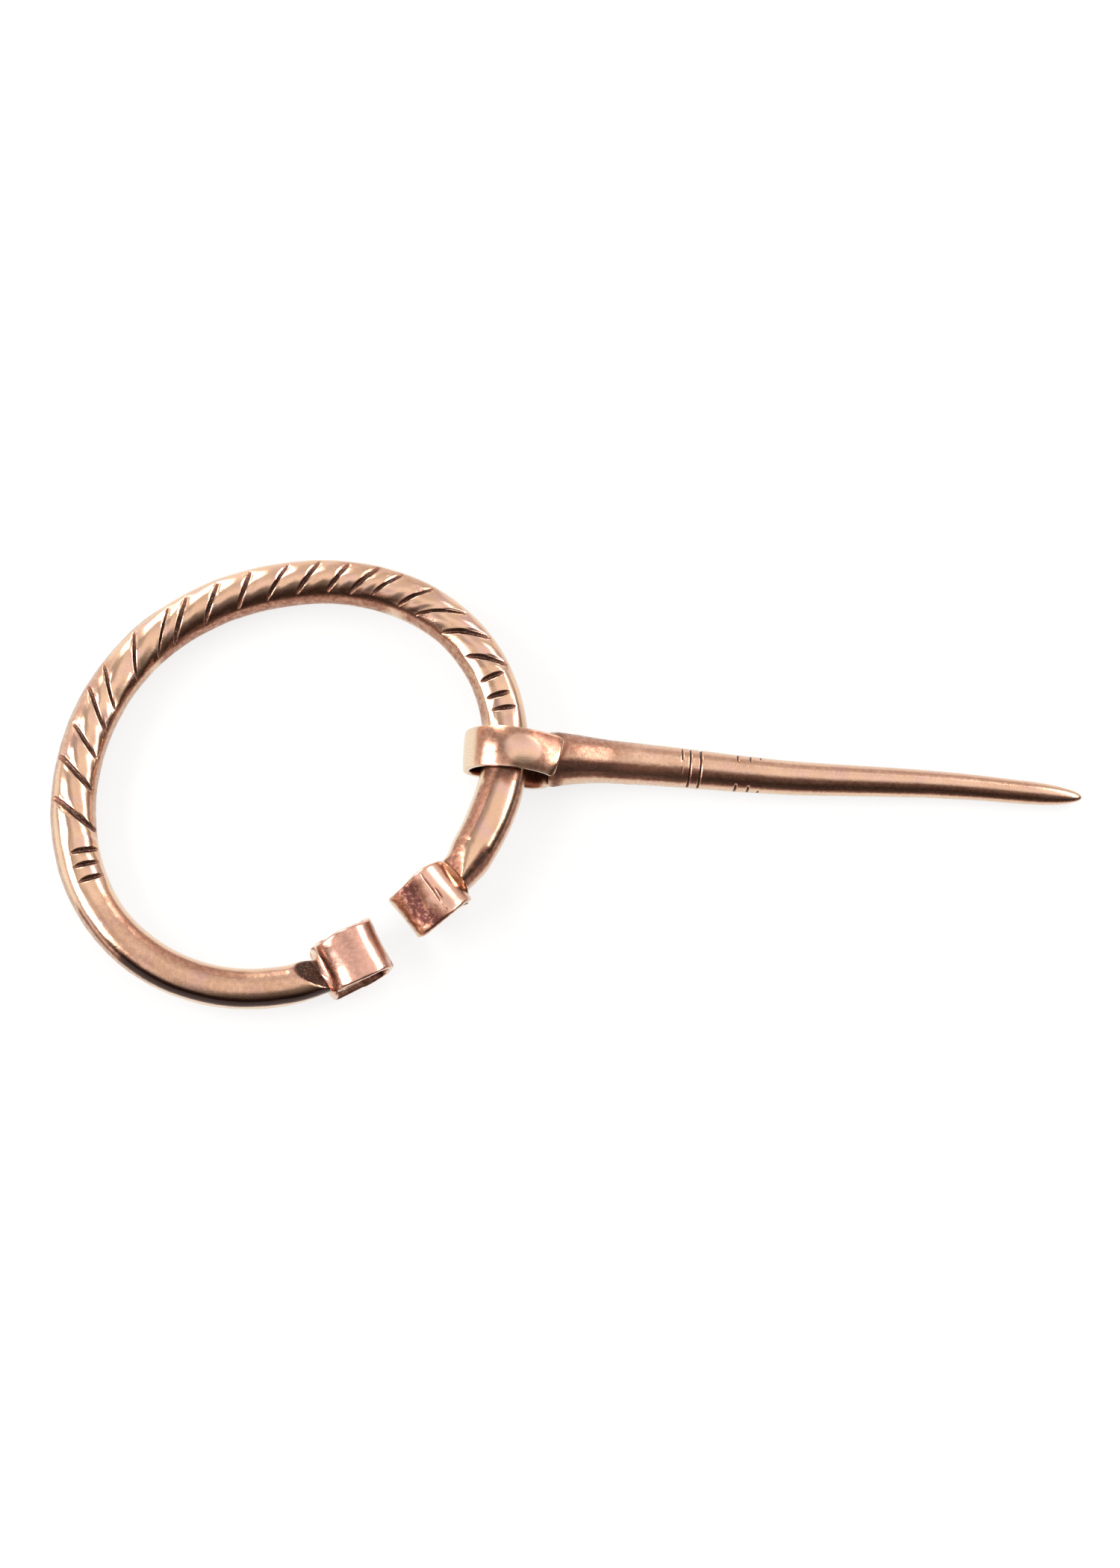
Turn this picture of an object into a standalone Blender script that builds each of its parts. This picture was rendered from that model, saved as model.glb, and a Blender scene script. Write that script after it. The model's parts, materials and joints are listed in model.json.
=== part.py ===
"""Penannular brooch in metres, +Z up, lying flat with its pin swung out along +X.

The hoop is an open oval of round bar, cut with slanting strokes. Its two ends are hammered flat
and rolled up into scrolls. The pin's head is drawn out into a strip that is wrapped once round
the bar, so the pin swings on the hoop.
"""
import math

import bmesh
import bpy
from mathutils import Matrix, Vector

MM = 0.001
DEG = math.pi / 180

# Hoop, measured to the middle of the bar: an oval that leans and is a little egg-shaped
HOOP_LONG_RADIUS = 19.46 * MM
HOOP_SHORT_RADIUS = 16.1 * MM
HOOP_LEAN = 41.7 * DEG
HOOP_EGG = 0.28 * MM
HOOP_EGG_TURN = 20 * DEG

# Bar: it thins from the end by the pin, over the carved stretch, to the far end
BAR_DIAMETER_BY_PIN = 3.92 * MM
BAR_DIAMETER_CARVED = 3.74 * MM
BAR_DIAMETER_FAR = 3.56 * MM
FLAT_SPOT_DEPTH = 0.05 * MM

# Cuts across the crown of the bar
CUT_WIDTH = 0.5 * MM
CUT_DEPTH = 0.3 * MM
CUT_END_WIDTH = 0.35  # share of its width that a cut keeps where it runs out
CUT_STRAIGHT_REACH = 60 * DEG
SLANTING_CUTS = (  # degrees round the hoop, degrees of slant
    (33, 38), (41, 46), (49.5, 51), (57, 36), (65, 37), (71, 36), (77.5, 32), (85.5, 37),
    (94, 39), (104, 34), (114.5, 41), (125, 45), (131.5, 48), (142.5, 43), (155, 44),
    (162, 43), (171.5, 39), (181, 38), (192, 40))
SLANTING_REACH_FIRST = 46 * DEG
SLANTING_REACH_LAST = 62 * DEG
SQUARE_CUTS = (19.5, 23.2, 28.1, 202.1, 205.7, 209.5)
SQUARE_REACH_OUT = 24 * DEG
SQUARE_REACH_IN = 46 * DEG

# Scrolls, seen from the side: an oval roll of the flattened bar
SCROLL_LENGTH = 5.75 * MM
SCROLL_HEIGHT = 4.2 * MM
SCROLL_STRIP = 0.65 * MM
SCROLL_TIP_STRIP = 0.45 * MM
SCROLL_GAP = 0.15 * MM
SCROLL_TURNS = 1.46
SCROLL_SQUARENESS = 2.5
SCROLL_SPREAD = ((0.2, 0.4, 0.7), (0.5, 0.8, 1))  # share of the run-in, own width, own height
LEFT_SCROLL_WIDTH = 4.9 * MM
LEFT_SCROLL_START = 280 * DEG
LEFT_SCROLL_HEADING = 28.7 * DEG
LEFT_SCROLL_SHIFT = -0.3 * MM
LEFT_SCROLL_TWIST = 8 * DEG
RIGHT_SCROLL_WIDTH = 4.4 * MM
RIGHT_SCROLL_START = -29.5 * DEG
RIGHT_SCROLL_HEADING = 219.9 * DEG
RIGHT_SCROLL_SHIFT = 0.3 * MM
RIGHT_SCROLL_TWIST = 0 * DEG
NECK_LENGTH = 2.6 * MM
NECK_THICKNESS = 1.1 * MM
NECK_SLANT = 22 * DEG
NECK_DIP_POWER = 1.5

# Loop of the pin: a strip that goes under the bar, round its inner side and back over it
LOOP_ANGLE = 8.6 * DEG
LOOP_CLEARANCE = 0.3 * MM
LOOP_STRIP = 0.7 * MM
LOOP_WIDTH = 3.5 * MM
LOOP_INNER_REACH = 2.75 * MM
LOOP_OUTER_REACH = 3.9 * MM
LOOP_END_REACH = 4.4 * MM
LOOP_END_DROP = 0.5 * MM
LOOP_END_GAP = 0.15 * MM
LOOP_END_DRIFT = 0.65 * MM
LOOP_END_SLANT = 14 * DEG
LOOP_CROWN = 0.35
STRIP_SQUARENESS = 4
STRIP_FULLNESS = 1.2

# Shaft of the pin, measured outwards from the middle of the bar
PIN_REACH = 50.2 * MM
TIP_LENGTH = 5.6 * MM
SHAFT_START = 9.3 * MM
SHAFT_WIDTH = 3.65 * MM
SHAFT_END_WIDTH = 2.02 * MM
SHAFT_FLATNESS = 0.9
TIP_BLUNTNESS = 0.05
HEAD_FLARE = 1.05 * MM
HEAD_FLARE_POWER = 1.5
HEAD_LIP = 0.2 * MM
SHAFT_LEAN = 1.6 * DEG
SHAFT_OFFSET = 0.14 * MM
SHAFT_WAVE = 0.15 * MM
SHAFT_WAVE_LENGTH = 29 * MM
RING_WIDTH = 0.4 * MM
RING_DEPTH = 0.16 * MM
RINGS = (15.1 * MM, 15.8 * MM, 16.7 * MM)
NICKS = (19.9 * MM, 21.0 * MM, 21.9 * MM)
NICK_TURN = 80 * DEG
NICK_SPREAD = 55 * DEG

# Fineness of the faceted solids
BAR_SIDES = 18
PIN_SIDES = 16
PLAIN_SPACING = 2.0 * MM
CARVED_SPACING = 1.5 * MM
SCROLL_STEP = 18 * DEG
NECK_STEPS = 6
FLARE_STEPS = 5
FRONT_STEPS = 7
LOOP_BEND_STEPS = 9
LOOP_TOP_STEPS = 6
TIP_TURNS = (0, 12, 25, 40, 57, 75)
SHAFT_SPACING = 4 * MM
SHAFT_PLACES = (18.3 * MM, 13 * MM, 11 * MM)

COPPER_COLOUR = (0.72, 0.42, 0.29, 1)
GOLDEN_COLOUR = (0.76, 0.47, 0.33, 1)


def smooth(value, start, end):
    """Go gently from 0 at start to 1 at end."""
    share = min(max((value - start) / (end - start), 0), 1)
    return share * share * (3 - 2 * share)


def mix(first, second, share):
    return first + (second - first) * share


def ring_angles(sides):
    """Angles round a section, from its top towards the outer side."""
    return [2 * math.pi * index / sides for index in range(sides)]


def superellipse(value, squareness):
    return math.copysign(abs(value) ** (2 / squareness), value)


def hoop_radius(angle):
    turn = angle - HOOP_LEAN
    across = math.hypot(HOOP_SHORT_RADIUS * math.cos(turn), HOOP_LONG_RADIUS * math.sin(turn))
    oval = HOOP_LONG_RADIUS * HOOP_SHORT_RADIUS / across
    return oval + HOOP_EGG * math.cos(3 * (angle - HOOP_EGG_TURN))


def hoop_point(angle):
    radius = hoop_radius(angle)
    return Vector((radius * math.cos(angle), radius * math.sin(angle), 0))


def hoop_slope(angle):
    """Movement of the middle of the bar per radian round the hoop."""
    step = 0.01 * DEG
    return (hoop_point(angle + step) - hoop_point(angle - step)) / (2 * step)


def turned(direction, angle):
    """Turn a level direction anticlockwise, seen from above."""
    return Matrix.Rotation(angle, 3, "Z") @ direction


def outward(angle):
    return turned(hoop_slope(angle).normalized(), -90 * DEG)


def bar_radius(angle):
    carved = smooth(angle, 0, 25 * DEG)
    far = smooth(angle, 195 * DEG, 225 * DEG)
    diameter = mix(BAR_DIAMETER_BY_PIN, BAR_DIAMETER_CARVED, carved)
    return mix(diameter, BAR_DIAMETER_FAR, far) / 2


def bar_section(radius, phi, depth=0):
    """Point of the round section with its small flat spot below, as (outward, up)."""
    reach = radius - depth
    return reach * math.sin(phi), max(reach * math.cos(phi), FLAT_SPOT_DEPTH - radius)


def bar_point(angle, phi, depth=0):
    out, up = bar_section(bar_radius(angle), phi, depth)
    return hoop_point(angle) + outward(angle) * out + Vector((0, 0, up))


def cut_slide(phi):
    """How far a slanting cut has slid along the bar, as a share: straight over the crown."""
    turn = math.atan2(math.sin(phi), math.cos(phi))
    beyond = abs(turn) - CUT_STRAIGHT_REACH
    if beyond < 0:
        return math.sin(turn)
    fade = math.cos(math.pi / 2 * beyond / (math.pi - CUT_STRAIGHT_REACH)) ** 2
    return math.copysign(math.sin(CUT_STRAIGHT_REACH) * fade, turn)


def cut_lines(angle, slant, reach_out, reach_in):
    """Three lines across the bar for one cut, its two lips and its bottom."""
    lines = []
    middle = (reach_out - reach_in) / 2
    half_reach = (reach_out + reach_in) / 2
    speed = hoop_slope(angle).length
    for side in (-1, 0, 1):
        line = []
        for phi in ring_angles(BAR_SIDES):
            turn = math.atan2(math.sin(phi), math.cos(phi))
            share = max(0, 1 - ((turn - middle) / half_reach) ** 2)
            slide = -bar_radius(angle) * math.tan(slant) * cut_slide(phi)
            width = CUT_WIDTH / math.cos(slant) * max(math.sqrt(share), CUT_END_WIDTH)
            spread = side * width / 2
            depth = 0 if side else CUT_DEPTH * share
            line.append((angle + (slide + spread) / speed, phi, depth))
        lines.append(line)
    return lines


def plain_line(angle):
    return [(angle, phi, 0) for phi in ring_angles(BAR_SIDES)]


def fill_between(first, last, spacing):
    """Plain lines between two lines, evenly spaced at every point round the bar."""
    gap = (last[0][0] - first[0][0]) * hoop_slope(first[0][0]).length
    count = max(1, round(gap / spacing))
    lines = []
    for index in range(1, count):
        share = index / count
        lines.append([(mix(start[0], end[0], share), start[1], 0)
                      for start, end in zip(first, last)])
    return lines


def all_cuts():
    """Every cut in order round the hoop, as the arguments of cut_lines."""
    cuts = [(angle * DEG, 0, SQUARE_REACH_OUT, SQUARE_REACH_IN) for angle in SQUARE_CUTS]
    for index, (angle, slant) in enumerate(SLANTING_CUTS):
        share = index / (len(SLANTING_CUTS) - 1)
        reach = mix(SLANTING_REACH_FIRST, SLANTING_REACH_LAST, share)
        cuts.append((angle * DEG, slant * DEG, reach, reach))
    return sorted(cuts)


def bar_rings(first_angle, last_angle):
    """Rings of points along the bar between the two necks."""
    lines = [plain_line(first_angle)]
    for number, cut in enumerate(all_cuts()):
        three = cut_lines(*cut)
        lines += fill_between(lines[-1], three[0], CARVED_SPACING if number else PLAIN_SPACING)
        lines += three
    last = plain_line(last_angle)
    lines += fill_between(lines[-1], last, PLAIN_SPACING)
    lines.append(last)
    return [[bar_point(*place) for place in line] for line in lines]


def strip_section(width, thickness, phi, crown=0):
    """Point of a flat strip with rounded edges, as (outward, up). Crown thins its far edges."""
    out = width / 2 * superellipse(math.sin(phi), STRIP_SQUARENESS)
    level = STRIP_FULLNESS * superellipse(math.cos(phi), STRIP_SQUARENESS)
    up = thickness / 2 * min(max(level, -1), 1)
    if up < 0:
        up *= 1 - crown * (2 * out / width) ** 2
    return out, up


def scroll_stations():
    """Middle line of a scroll, side on: (along, up, heading, thickness, own width, own height).

    It goes from the neck inwards. Up is measured from the middle of the strip that leaves the
    neck. The last two tell how far the neck's section has become a strip.
    """
    pitch = SCROLL_STRIP + SCROLL_GAP
    centre_along = SCROLL_LENGTH / 2 - pitch / 4
    half_length = SCROLL_LENGTH / 2 + pitch / 2 - SCROLL_STRIP / 2
    half_height = (SCROLL_HEIGHT - SCROLL_STRIP) / 2 + pitch / 4

    def place(turn):
        shrink = pitch * turn / (2 * math.pi)
        along = (half_length - shrink) * superellipse(math.sin(turn), SCROLL_SQUARENESS)
        up = -(half_height - shrink) * superellipse(math.cos(turn), SCROLL_SQUARENESS)
        return Vector((centre_along + along, half_height + up))

    stations = [(share * centre_along, 0, 0, SCROLL_STRIP, own_width, own_height)
                for share, own_width, own_height in SCROLL_SPREAD]
    end_turn = SCROLL_TURNS * 2 * math.pi
    count = round(end_turn / SCROLL_STEP)
    for index in range(count + 1):
        turn = end_turn * index / count
        spot = place(turn)
        ahead = place(turn + 1 * DEG) - place(max(turn - 1 * DEG, 0))
        thickness = mix(SCROLL_STRIP, SCROLL_TIP_STRIP, smooth(turn, end_turn / 2, end_turn))
        stations.append((spot.x, spot.y, math.atan2(ahead.y, ahead.x), thickness, 1, 1))
    return stations


def neck_section(radius, phi, share):
    """Point of the bar's section under the hollow hammered into its top, as (outward, up)."""
    slant = math.tan(NECK_SLANT) * share
    top = mix(2 * radius, NECK_THICKNESS, share ** NECK_DIP_POWER) - radius
    middle = mix(0, NECK_THICKNESS / 2 - radius, share)
    ahead = middle * math.cos(phi)
    reach = math.sqrt(ahead ** 2 - middle ** 2 + radius ** 2) - ahead
    fall = math.cos(phi) - math.sin(phi) * slant
    if fall > 0:
        reach = min(reach, (top - middle) / fall)
    return reach * math.sin(phi), max(middle + reach * math.cos(phi), FLAT_SPOT_DEPTH - radius)


def scroll_rings(side, start, heading, width, shift, twist):
    """Rings from the neck to the free end. Side is 1 where the gap lies anticlockwise."""
    ahead = turned(Vector((1, 0, 0)), heading)
    base = hoop_point(start) + outward(start) * shift
    strip_up = Vector((0, 0, SCROLL_STRIP / 2 - bar_radius(start)))
    rings = []

    def add_ring(origin, forward, twist_share, section):
        """Section points are (outward, forward, up), up from the middle of the strip."""
        out = turned(forward, -90 * DEG * side)
        lean = Matrix.Rotation(side * twist * twist_share, 3, forward)
        pivot = origin + strip_up
        rings.append([pivot + lean @ (out * across + forward * along + Vector((0, 0, up)))
                      for across, along, up in section])

    for index in range(1, NECK_STEPS + 1):
        share = index / NECK_STEPS
        back = NECK_LENGTH * (share - 1)
        angle = start + side * back / hoop_slope(start).length
        blend = smooth(share, 0, 1)
        origin = hoop_point(angle).lerp(base + ahead * back, blend)
        forward = (hoop_slope(angle).normalized() * side).lerp(ahead, blend).normalized()
        neck = []
        for phi in ring_angles(BAR_SIDES):
            across, up = neck_section(bar_radius(angle), phi, share)
            neck.append((across, 0, up - strip_up.z))
        add_ring(origin, forward, blend, neck)

    for along, rise, pitch, thickness, own_width, own_height in scroll_stations():
        section = []
        for phi, (neck_across, _, neck_up) in zip(ring_angles(BAR_SIDES), neck):
            across, up = strip_section(width, thickness, phi)
            across = mix(neck_across, across, own_width)
            up = mix(neck_up, up, own_height)
            section.append((across, along - up * math.sin(pitch), rise + up * math.cos(pitch)))
        add_ring(base, ahead, 1, section)
    return rings


def hoop_rings():
    """All rings of the hoop, from the right scroll's free end to the left scroll's."""
    right = scroll_rings(-1, RIGHT_SCROLL_START, RIGHT_SCROLL_HEADING, RIGHT_SCROLL_WIDTH,
                         RIGHT_SCROLL_SHIFT, RIGHT_SCROLL_TWIST)
    left = scroll_rings(1, LEFT_SCROLL_START, LEFT_SCROLL_HEADING, LEFT_SCROLL_WIDTH,
                        LEFT_SCROLL_SHIFT, LEFT_SCROLL_TWIST)
    first = RIGHT_SCROLL_START + NECK_LENGTH / hoop_slope(RIGHT_SCROLL_START).length
    last = LEFT_SCROLL_START - NECK_LENGTH / hoop_slope(LEFT_SCROLL_START).length
    return right[::-1] + bar_rings(first, last) + left


def loop_half_height():
    """From the middle of the bar to the strip's inner face, above and below."""
    return bar_radius(LOOP_ANGLE) + LOOP_CLEARANCE


def hinge_height():
    return loop_half_height() + LOOP_STRIP


def head_share(distance):
    """How far the shaft has widened into the head: 0 on the shaft, 1 at the loop's free end."""
    share = (SHAFT_START - distance) / (SHAFT_START - LOOP_END_REACH)
    return min(max(share, 0), 1) ** HEAD_FLARE_POWER


def shaft_width(distance):
    taper = (distance - SHAFT_START) / (PIN_REACH - TIP_LENGTH - SHAFT_START)
    width = mix(SHAFT_WIDTH, SHAFT_END_WIDTH, min(taper, 1))
    return width + HEAD_FLARE * head_share(distance)


def shaft_height(distance):
    """Height of the shaft, whose head reaches up to just under the loop's free end."""
    head = hinge_height() + loop_half_height() - LOOP_END_DROP - LOOP_END_GAP
    return mix(shaft_width(distance) * SHAFT_FLATNESS, head, head_share(distance))


def shaft_shrink(distance):
    """Rounding of the tip, as a share of the section."""
    share = max(0, (distance - PIN_REACH + TIP_LENGTH) / TIP_LENGTH)
    return math.sqrt(max(TIP_BLUNTNESS ** 2, 1 - share * share))


def shaft_side(distance):
    """Sideways place of the shaft, which leans and waves a little."""
    wave = math.cos(2 * math.pi * (distance - SHAFT_START) / SHAFT_WAVE_LENGTH)
    return SHAFT_OFFSET + math.tan(SHAFT_LEAN) * distance + SHAFT_WAVE * wave


def groove_depth(distance, phi):
    """Depth of the ring lines, and of the nicks on the shaft's two sides."""
    turn = abs(math.atan2(math.sin(phi), math.cos(phi)))
    if any(abs(distance - place) < RING_WIDTH / 4 for place in RINGS):
        return RING_DEPTH
    if any(abs(distance - place) < RING_WIDTH / 4 for place in NICKS):
        return RING_DEPTH * max(0, 1 - abs(turn - NICK_TURN) / NICK_SPREAD)
    return 0


def shaft_ring(distance):
    width = shaft_width(distance)
    height = shaft_height(distance)
    shrink = shaft_shrink(distance)
    points = []
    for phi in ring_angles(PIN_SIDES):
        cut = 1 - 2 * groove_depth(distance, phi) / width
        out = width / 2 * shrink * cut * math.sin(phi)
        up = height / 2 * max(shrink * cut * math.cos(phi), 2 * FLAT_SPOT_DEPTH / height - 1)
        points.append(Vector((distance, shaft_side(distance) + out, up + height / 2 - hinge_height())))
    return points


def shaft_distances():
    """Places of the shaft's rings, from the tip to the back of the head."""
    tip = [PIN_REACH - TIP_LENGTH * (1 - math.cos(turn * DEG)) for turn in TIP_TURNS]
    grooves = []
    for place in RINGS + NICKS:
        grooves += [place - RING_WIDTH / 2, place, place + RING_WIDTH / 2]
    plain_count = int((PIN_REACH - TIP_LENGTH - NICKS[-1]) / SHAFT_SPACING) + 1
    plain = [PIN_REACH - TIP_LENGTH - index * SHAFT_SPACING for index in range(plain_count)]
    flare = [mix(SHAFT_START, LOOP_END_REACH, index / FLARE_STEPS) for index in range(FLARE_STEPS + 1)]
    return sorted(tip + grooves + plain + list(SHAFT_PLACES) + flare, reverse=True)


def front_rings():
    """The head's hollow front, from its top edge down to the strip under the bar."""
    half = loop_half_height()
    centre = LOOP_OUTER_REACH - half
    head_width = shaft_width(LOOP_END_REACH)
    head_top = shaft_height(LOOP_END_REACH) - hinge_height()
    first = math.asin(head_top / half)
    rings = []
    for index in range(FRONT_STEPS + 1):
        share = index / FRONT_STEPS
        turn = mix(first, -90 * DEG, share)
        top = half * math.sin(turn)
        height = top + hinge_height()
        top_along = centre + half * math.cos(turn)
        low_along = mix(LOOP_END_REACH - HEAD_LIP, centre, share)
        width = mix(head_width, LOOP_WIDTH, share)
        points = []
        for phi in ring_angles(PIN_SIDES):
            squareness = mix(2, STRIP_SQUARENESS, share)
            out = width / 2 * superellipse(math.sin(phi), squareness)
            rise = mix(1, STRIP_FULLNESS, share) * superellipse(math.cos(phi), squareness)
            rise = min(max(rise, 2 * FLAT_SPOT_DEPTH * (1 - share) / height - 1), 1)
            level = (rise + 1) / 2
            points.append(Vector((mix(low_along, top_along, level), shaft_side(LOOP_OUTER_REACH) + out,
                                  level * height - hinge_height())))
        rings.append(points)
    return rings


def loop_stations():
    """Middle line of the loop's strip, side on: (outward, up, heading)."""
    half = loop_half_height() + LOOP_STRIP / 2
    near = loop_half_height() - LOOP_INNER_REACH
    places = [(mix(LOOP_OUTER_REACH - loop_half_height(), near, share), -half, 180 * DEG)
              for share in (0.4, 0.75)]
    for index in range(LOOP_BEND_STEPS + 1):
        turn = -90 * DEG - 180 * DEG * index / LOOP_BEND_STEPS
        places.append((near + half * math.cos(turn), half * math.sin(turn), turn - 90 * DEG))
    for index in range(1, LOOP_TOP_STEPS + 1):
        share = index / LOOP_TOP_STEPS
        along = mix(near, LOOP_END_REACH, share)
        slope = 2 * LOOP_END_DROP * share / (LOOP_END_REACH - near)
        places.append((along, half - LOOP_END_DROP * share ** 2, -math.atan(slope)))
    return places


def loop_rings():
    """Rings of the strip from under the bar to the free end on top of the head."""
    rings = []
    places = loop_stations()
    for index, (along, up, heading) in enumerate(places):
        share = (index + 1) / len(places)
        side = shaft_side(LOOP_OUTER_REACH) - LOOP_END_DRIFT * share ** 2
        inner = Vector((math.sin(heading), -math.cos(heading)))
        end_slant = math.tan(LOOP_END_SLANT) * smooth(index, len(places) - 4, len(places) - 1)
        points = []
        for phi in ring_angles(PIN_SIDES):
            out, rise = strip_section(LOOP_WIDTH, LOOP_STRIP, phi, LOOP_CROWN * smooth(share, 0.3, 0.8))
            spot = Vector((along, up)) + inner * rise
            points.append(Vector((spot.x + end_slant * out, side + out, spot.y)))
        rings.append(points)
    return rings


def pin_rings():
    shaft = [shaft_ring(distance) for distance in shaft_distances()]
    return shaft + front_rings() + loop_rings()


def make_material(name, colour, roughness):
    material = bpy.data.materials.new(name)
    material.use_nodes = True
    shader = material.node_tree.nodes["Principled BSDF"]
    shader.inputs["Base Color"].default_value = colour
    shader.inputs["Metallic"].default_value = 1
    shader.inputs["Roughness"].default_value = roughness
    material.diffuse_color = colour
    return material


def make_tube(name, rings, material):
    """Join rings of points into one closed, smooth-shaded body."""
    shape = bmesh.new()
    made = [[shape.verts.new(point) for point in ring] for ring in rings]
    for first, second in zip(made, made[1:]):
        count = len(first)
        for index in range(count):
            following = (index + 1) % count
            shape.faces.new((first[index], first[following], second[following], second[index]))
    shape.faces.new(made[0])
    shape.faces.new(made[-1])
    bmesh.ops.recalc_face_normals(shape, faces=shape.faces)
    mesh = bpy.data.meshes.new(name)
    shape.to_mesh(mesh)
    shape.free()
    mesh.materials.append(material)
    mesh.shade_smooth()
    mesh.set_sharp_from_angle(angle=45 * DEG)
    body = bpy.data.objects.new(name, mesh)
    bpy.context.scene.collection.objects.link(body)
    return body


def resting_tilt(points, height):
    """Turn about the hinge that lets the hoop's far side down on the floor."""
    tilts = []
    for point in points:
        reach = math.hypot(point.x, point.z)
        if point.x < -LOOP_END_REACH and reach > height:
            tilts.append(math.asin(height / reach) - math.atan2(-point.z, -point.x))
    return min(tilts)


def main():
    for old in list(bpy.data.objects):
        bpy.data.objects.remove(old)

    # The hinge frame: X outwards from the hoop, Y along the bar, Z up, at the middle of the bar
    frame = bpy.data.objects.new("hinge_frame", None)
    bpy.context.scene.collection.objects.link(frame)
    out = outward(LOOP_ANGLE)
    heading = math.atan2(out.y, out.x)
    to_hinge = Matrix.Rotation(-heading, 4, "Z") @ Matrix.Translation(-hoop_point(LOOP_ANGLE))

    rings = [[to_hinge @ point for point in ring] for ring in hoop_rings()]
    hoop = make_tube("hoop", rings, make_material("hoop_bronze", COPPER_COLOUR, 0.24))
    hoop.parent = frame
    hoop.rotation_euler.y = -resting_tilt([point for ring in rings for point in ring], hinge_height())

    pin = make_tube("pin", pin_rings(), make_material("pin_bronze", GOLDEN_COLOUR, 0.26))
    pin.parent = frame

    # Stand the whole on the floor, with its middle at the origin
    frame.rotation_euler.z = heading
    bpy.context.view_layer.update()
    corners = [body.matrix_world @ vertex.co for body in (hoop, pin) for vertex in body.data.vertices]
    low = Vector([min(corner[axis] for corner in corners) for axis in range(3)])
    high = Vector([max(corner[axis] for corner in corners) for axis in range(3)])
    frame.location = Vector((-(low.x + high.x) / 2, -(low.y + high.y) / 2, -low.z))
    bpy.context.view_layer.update()


main()
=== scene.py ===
"""Dress the penannular brooch: finely shaped hoop and pin, worn bronze, soft studio light.

Both pieces are sweeps of rings of points, as the solids are, with the same sizes, but finer: they
add the lips and valleys of the cuts, hammered facets, seams, ring lines and rounded ends. Every
point also carries how dark its place is (patina, and painted shade in hollows, underneath and on the
flanks facing the gap), how grainy, how pale (a painted reflection on steep rims) and how rosy, for the
materials.
"""

import json
import math
from functools import partialmethod
from types import SimpleNamespace

import bpy
import numpy as np
from mathutils import Matrix, Vector, noise

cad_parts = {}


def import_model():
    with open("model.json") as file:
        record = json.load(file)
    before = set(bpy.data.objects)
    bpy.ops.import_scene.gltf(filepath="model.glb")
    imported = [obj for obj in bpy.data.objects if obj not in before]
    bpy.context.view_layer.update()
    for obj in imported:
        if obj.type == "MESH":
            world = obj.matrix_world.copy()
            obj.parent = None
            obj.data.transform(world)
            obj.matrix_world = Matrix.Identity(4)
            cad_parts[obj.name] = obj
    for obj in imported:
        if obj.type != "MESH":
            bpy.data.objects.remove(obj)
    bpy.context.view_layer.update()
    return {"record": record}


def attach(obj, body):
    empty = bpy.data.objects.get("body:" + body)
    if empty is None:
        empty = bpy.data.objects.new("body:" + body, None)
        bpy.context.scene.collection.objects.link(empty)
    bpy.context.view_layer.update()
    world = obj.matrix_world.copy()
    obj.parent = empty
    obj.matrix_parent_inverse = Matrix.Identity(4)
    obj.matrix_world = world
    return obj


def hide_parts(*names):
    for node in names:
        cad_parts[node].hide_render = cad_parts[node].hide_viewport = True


MM = 0.001
DEG = math.pi / 180

# Hoop, as in the solid: a slightly egg-shaped oval of nearly round bar
HOOP_LONG_RADIUS = 19.46 * MM
HOOP_SHORT_RADIUS = 16.1 * MM
HOOP_LEAN = 41.7 * DEG
HOOP_EGG = 0.28 * MM
HOOP_EGG_TURN = 20 * DEG
HOOP_TILT = 1.79 * DEG
BAR_DIAMETER_BY_PIN = 3.92 * MM
BAR_DIAMETER_CARVED = 3.74 * MM
BAR_DIAMETER_FAR = 3.56 * MM
BAR_CARVED_FROM = (0, 25 * DEG)  # where it gets that diameter
BAR_FAR_FROM = (195 * DEG, 225 * DEG)
FLAT_SPOT_DEPTH = 0.05 * MM

# Cuts: degrees round the hoop, degrees of slant, degrees of reach outwards and inwards, width in mm
CUTS = (
    (19.5, 0, 30, 36, 0.42), (23.15, 0, 22, 43, 0.5), (28.1, 0, 24, 43, 0.5),
    (33.05, 38, 50, 45, 0.5), (41.15, 46, 49, 48, 0.5), (49.25, 51, 45, 48, 0.32),
    (56.9, 36, 46, 45, 0.38), (65.0, 37, 51, 36, 0.36), (70.8, 36, 52, 44, 0.5),
    (77.6, 32, 49, 44, 0.45), (85.7, 37, 50, 47, 0.45), (94.2, 39, 48, 51, 0.38),
    (104.0, 34, 48, 53, 0.45), (114.3, 41, 44, 57, 0.45), (124.8, 45, 47, 61, 0.45),
    (131.35, 48, 49, 57, 0.25), (142.55, 43, 53, 55, 0.38), (155.0, 44, 57, 46, 0.35),
    (162.2, 43, 61, 50, 0.45), (171.7, 39, 49, 48, 0.45), (181.2, 38, 67, 57, 0.56),
    (192.0, 40, 66, 73, 0.6), (202.1, 0, 22, 63, 0.55), (205.7, 0, 23, 50, 0.5),
    (209.5, 0, 23, 50, 0.5))
CUT_DEPTH = 0.24 * MM
CUT_END_WIDTH = 0.45
CUT_STRAIGHT_REACH = 60 * DEG
CUT_GRAIN = 1.2
# How suddenly the width, depth and darkness of a cut end, and how round its section is
CUT_WIDTH_POWER = 0.28
CUT_DEPTH_POWER = 0.6
CUT_DARK_POWER = 0.12
CUT_SECTION_POWER = 1.8
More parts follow.
